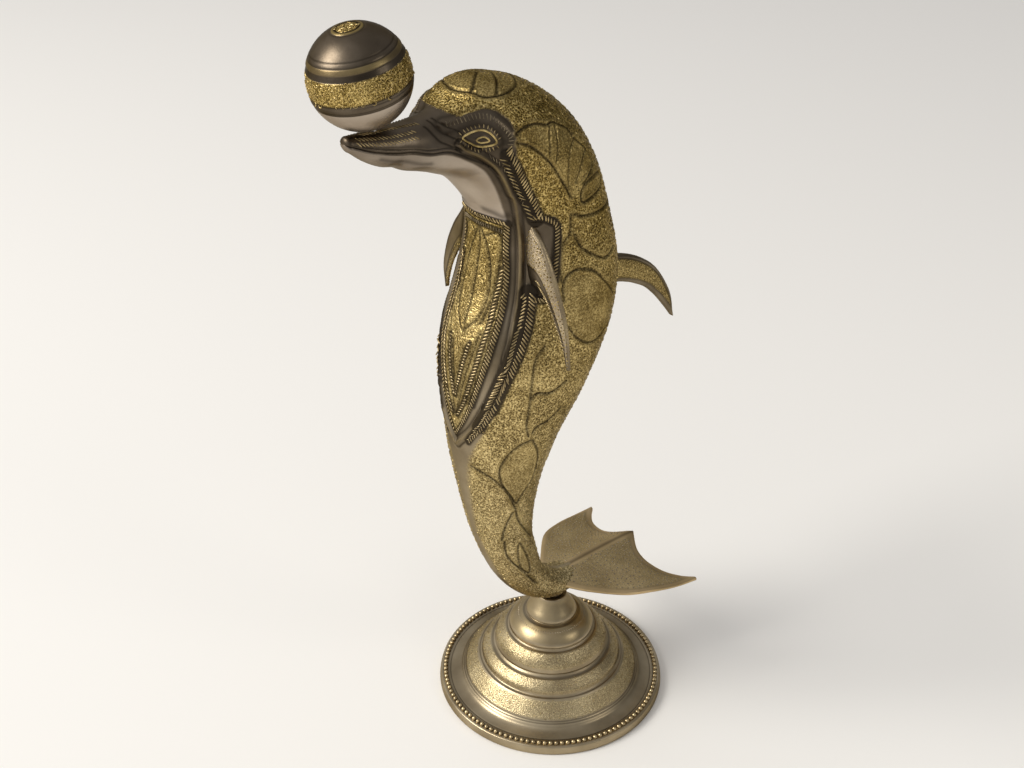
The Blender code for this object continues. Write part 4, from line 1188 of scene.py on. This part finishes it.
# %% Beads and ticks of the foot
BEAD_COUNT = 122
BEAD_RING = (71.0, 6.9)
TICK_COUNT = 84
TICK_RING = (21.6, 54.75)
ROUND_BEAD = template_from_primitive(bpy.ops.mesh.primitive_uv_sphere_add, segments=10, ring_count=7)
turns = np.arange(BEAD_COUNT) / BEAD_COUNT * 360
spots = turned_point(*BEAD_RING, turns)
beads = cast(
    "rim_beads", ROUND_BEAD, spots, turned_point(*BEAD_RING, turns + 1) - spots,
    np.tile(UP, (BEAD_COUNT, 1)), (3.0, 3.0, 2.8), ROPE_GOLD, "dark_brass",
)
tick_turns = np.arange(TICK_COUNT) / TICK_COUNT * 360
tick_spots = turned_point(*TICK_RING, tick_turns)
tick_out = unit(UP * 1.9 + unit(tick_spots - np.array((0, AXIS_Y, TICK_RING[1] * MM))))
foot_ticks = cast(
    "foot_ticks", BEAD, tick_spots, turned_point(23.6, 53.6, tick_turns) - tick_spots, tick_out,
    (1.7, 0.4, 0.4), DULL_STROKE, "dark_brass",
)

# %% [markdown]
# Between the tail and the neck sits a low dark boss. It hides the joint between the two castings.

# %% Boss
def make_boss():
    """The dark round boss under the tail, which stands on the foot's neck."""
    outline = np.array([(0, 8), (8, 8), (8, 2.6), (7.6, 1.2), (6, 0.3), (0, 0.3)])
    steps = np.concatenate([[0], np.cumsum(np.linalg.norm(np.diff(outline, axis=0), axis=1))])

    def shape(u, v):
        radius, height = (np.interp(v * steps[-1], steps, outline[:, k]) for k in range(2))
        spots = turned_point(radius, height + FOOT_TOP / MM, 360 * (u % 1))
        return spots, {"dark": np.full(len(u), 0.35)}

    return rolled_sheet("tail_boss", 64, 40, shape, ENGRAVED)


covers_body.append(make_boss())

# %% [markdown]
# ## Curls and punch dots
# What fills every bare field is hundreds of little curls, with punch dots inside the leaves. They
# could be painted, but on the real metal they are relief and catch the light one by one, so each is a
# small solid. They are sprinkled over a field at random and keep a distance from each other, as a
# patient engraver's hand does.

# %% Shape of a curl
def curl_template(turn=4.0, steps=8):
    """A comma of three-cornered section that curls round its own head."""
    points, faces = [], []
    for k in range(steps + 1):
        t = k / steps
        angle = turn * t
        reach = 0.28 + 0.62 * t
        width = 0.26 * math.sin(math.pi * (0.12 + 0.86 * t))
        for side, rise in ((-1, -0.4), (0, 1), (1, -0.4)):
            arm = reach + side * width
            points.append((arm * math.cos(angle), arm * math.sin(angle), rise))
    for k in range(steps):
        for n in range(3):
            following = (n + 1) % 3
            faces.append((3 * k + n, 3 * k + following, 3 * k + 3 + following, 3 * k + 3 + n))
    faces += [(0, 1, 2), (3 * steps + 2, 3 * steps + 1, 3 * steps)]
    return np.array(points), faces


CURL = curl_template()
CURL_BACK = (CURL[0] * (1, -1, 1), [face[::-1] for face in CURL[1]])
print("curl faces", len(CURL[1]))

# %% [markdown]
# Throwing darts and keeping only those that land far enough from the earlier ones gives an even cover
# without rows. A grid of cells as wide as the distance keeps that quick.

# %% Sprinkling
def sprinkle(piece, spacing, seed, wanted):
    """Random spots on a piece, at least spacing apart, where wanted(shares) is high."""
    mesh = piece.data
    count = len(mesh.polygons)
    centres, normals, areas = np.empty(count * 3), np.empty(count * 3), np.empty(count)
    mesh.polygons.foreach_get("center", centres)
    mesh.polygons.foreach_get("normal", normals)
    mesh.polygons.foreach_get("area", areas)
    centres, normals = centres.reshape(-1, 3), normals.reshape(-1, 3)
    first = np.array([polygon.vertices[0] for polygon in mesh.polygons])
    shares = {}
    for key in ("gold", "dark", "pale_reflection", "rubbed_and_sheen", "room"):
        values = np.empty(len(mesh.vertices))
        mesh.attributes[key].data.foreach_get("value", values)
        shares[key] = values[first]
    weight = areas * wanted(shares)
    dice = np.random.default_rng(seed)
    tries = int(5 * weight.sum() / (spacing * MM) ** 2)
    chosen = dice.choice(count, tries, p=weight / weight.sum())
    shift = dice.uniform(-0.5, 0.5, (tries, 3)) * np.sqrt(areas[chosen])[:, None]
    shift -= normals[chosen] * np.einsum("ij,ij->i", shift, normals[chosen])[:, None]
    spots = centres[chosen] + shift
    taken, kept = {}, []
    for k, cell in enumerate(map(tuple, np.floor(spots / (spacing * MM)).astype(int))):
        near = [
            n
            for a in (-1, 0, 1) for b in (-1, 0, 1) for c in (-1, 0, 1)
            for n in taken.get((cell[0] + a, cell[1] + b, cell[2] + c), ())
        ]
        if near and np.min(((spots[near] - spots[k]) ** 2).sum(1)) < (spacing * MM) ** 2:
            continue
        taken.setdefault(cell, []).append(k)
        kept.append(k)
    ahead = dice.normal(size=(len(kept), 3))
    return spots[kept], ahead, normals[chosen[kept]], dice.uniform(0.8, 1.2, len(kept))


def sprinkle_curls(name, piece, spacing, size, seed, wanted, material, slot="engraved_brass"):
    """Curls that turn both ways, as two pieces."""
    spots, ahead, out, growth = sprinkle(piece, spacing, seed, wanted)
    sizes = np.array((size, size, 0.2 * size))[None] * growth[:, None]
    made = []
    for way, template in ((0, CURL), (1, CURL_BACK)):
        pick = slice(way, None, 2)
        made.append(cast(
            name + ("_left" if way else "_right"), template,
            spots[pick], ahead[pick], out[pick], sizes[pick], material, slot,
        ))
    return made


def sprinkle_dots(name, piece, spacing, size, seed, wanted, material):
    """Punch dots, each a flattened bead."""
    spots, ahead, out, growth = sprinkle(piece, spacing, seed, wanted)
    sizes = np.array((size, size * 0.8, size * 0.5))[None] * growth[:, None]
    return cast(name, BEAD, spots, ahead, out, sizes, material)

# %% [markdown]
# The shares that were written on each mesh say where the curls may lie: on bare brass, away from lines.
# They stand wider apart on the tail, where the real ones are worn soft.

# %% Where curls and dots go
def open_field(shares):
    """Bare brass that holds no leaf and no furrow."""
    clear = (shares["dark"] < 0.4) & (shares["rubbed_and_sheen"] < 0.3) & (shares["room"] > 0.27)
    return ((shares["gold"] > 0.6) & clear).astype(float)


def leaf_field(shares):
    """The inside of leaves."""
    leaf = (shares["gold"] > 0.6) & (shares["room"] > 0.24) & (shares["rubbed_and_sheen"] > 0.3)
    return (leaf & (shares["rubbed_and_sheen"] < 0.6)).astype(float)


def pitted_fluke(shares):
    """The fluke's fields, less and less towards their borders."""
    return shares["gold"] * (shares["dark"] < 0.3)


def engraved_at_all(shares):
    """Every place with some bare brass."""
    return shares["gold"] > 0.3


CURL_SPACINGS = (3.6, 2.8, 2.8)
for k, (skin, part_name) in enumerate(zip(skins, ("tail", "trunk", "head"))):
    covers_body += sprinkle_curls(
        part_name + "_curls", skin, CURL_SPACINGS[k], 2.3, 11 + k, open_field, CURL_GOLD,
    )
    covers_body.append(
        sprinkle_dots(part_name + "_sparks", skin, 5.2, 1.4, 21 + k, open_field, RUBBED_GOLD)
    )
    covers_body.append(
        sprinkle_dots(part_name + "_leaf_dots", skin, 2.0, 1.0, 31 + k, leaf_field, CURL_GOLD)
    )
covers_body.append(sprinkle_dots("fluke_dots", fluke, 2.3, 1.2, 13, pitted_fluke, DULL_STROKE))
fin_dots = sprinkle_dots("dorsal_dots", dorsal, 1.9, 1.2, 14, open_field, CURL_GOLD)
left_dots = sprinkle_dots("flipper_dots_left", left_flipper, 1.6, 1.0, 15, open_field, CURL_GOLD)
right_dots = sprinkle_dots(
    "flipper_dots_right", right_flipper, 1.6, 1.0, 16, engraved_at_all, CURL_GOLD,
)
ball_curls = sprinkle_curls("ball_curls", ball_skin, 2.6, 2.9, 17, open_field, RUBBED_GOLD)
foot_curls = sprinkle_curls(
    "foot_curls", foot_skin, 3.2, 2.0, 18, engraved_at_all, CURL_GOLD, "dark_brass",
)

# %% [markdown]
# ## Floor, world and lamps
# Metal shows what stands round it. So the stage is a broad pale floor, which lights the dolphin from
# below, a soft window on the left, which draws the long highlights, a small one on the right, and a
# room that is brighter on the window's side.

# %% Stage
bpy.ops.object.select_all(action="DESELECT")
bpy.ops.mesh.primitive_circle_add(vertices=96, radius=4, fill_type="NGON", location=(0, 0, 0))
floor = bpy.context.object
floor.name = "pale_floor"
cloth = bpy.data.materials.new("pale_floor")
cloth.use_nodes = True
cloth_shader = cloth.node_tree.nodes["Principled BSDF"]
cloth_shader.inputs["Base Color"].default_value = (0.9, 0.875, 0.82, 1)
cloth_shader.inputs["Roughness"].default_value = 0.9
cloth_shader.inputs["Specular IOR Level"].default_value = 0.1
floor.data.materials.append(cloth)

world = bpy.data.worlds.new("pale_room")
bpy.context.scene.world = world
world.use_nodes = True
sky = world.node_tree
look = add_node(sky, "ShaderNodeTexCoord").outputs["Generated"]
TO_WINDOW = (-0.62, -0.74, 0.26)
facing = add_node(sky, "ShaderNodeVectorMath", {0: look, 1: TO_WINDOW}, operation="DOT_PRODUCT")
brightness = {"Value": facing.outputs["Value"], "From Min": -0.8, "To Min": 0.2, "To Max": 0.8}
glow = add_node(sky, "ShaderNodeMapRange", brightness).outputs[0]
sky.nodes["Background"].inputs["Color"].default_value = (0.97, 0.97, 1.0, 1)
sky.links.new(glow, sky.nodes["Background"].inputs["Strength"])


def soft_lamp(name, location, target, size, power, colour):
    """A square soft lamp that looks at a target."""
    bpy.ops.object.select_all(action="DESELECT")
    bpy.ops.object.light_add(type="AREA", location=location)
    lamp = bpy.context.object
    lamp.name = name
    lamp.data.size = size
    lamp.data.energy = power
    lamp.data.color = colour
    lamp.rotation_euler = (Vector(target) - Vector(location)).to_track_quat("-Z", "Y").to_euler()
    return lamp


soft_lamp("window_left", (-1.2, -2.6, 2.4), (0, 0, 0.2), 1.8, 105, (1.0, 0.98, 0.95))
soft_lamp("window_right", (1.3, 0.5, 1.0), (0, 0, 0.25), 0.5, 2.5, (1.0, 0.97, 0.92))
print("stage and lamps are up")

# %% [markdown]
# ## Finish
# Every piece rides on the one body of this object. The CAD nodes that the new pieces cover are hidden,
# and the steel parts get the plated steel.

# %% Finish
for piece in covers_body:
    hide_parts("body")
for node_name, pieces in (
    ("dorsal_fin", (dorsal, fin_dots)),
    ("flipper_left", (left_flipper, left_dots, strip_strokes)),
    ("flipper_right", (right_flipper, right_dots)),
    ("ball", (ball_skin, ball_strokes, *ball_curls)),
    ("foot", (foot_skin, beads, foot_ticks, *foot_curls)),
):
    for piece in pieces:
        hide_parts(node_name)
for node_name in ("washer", "nut", "foot_stud", "ball_pin"):
    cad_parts[node_name].data.materials.clear()
    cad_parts[node_name].data.materials.append(STEEL)
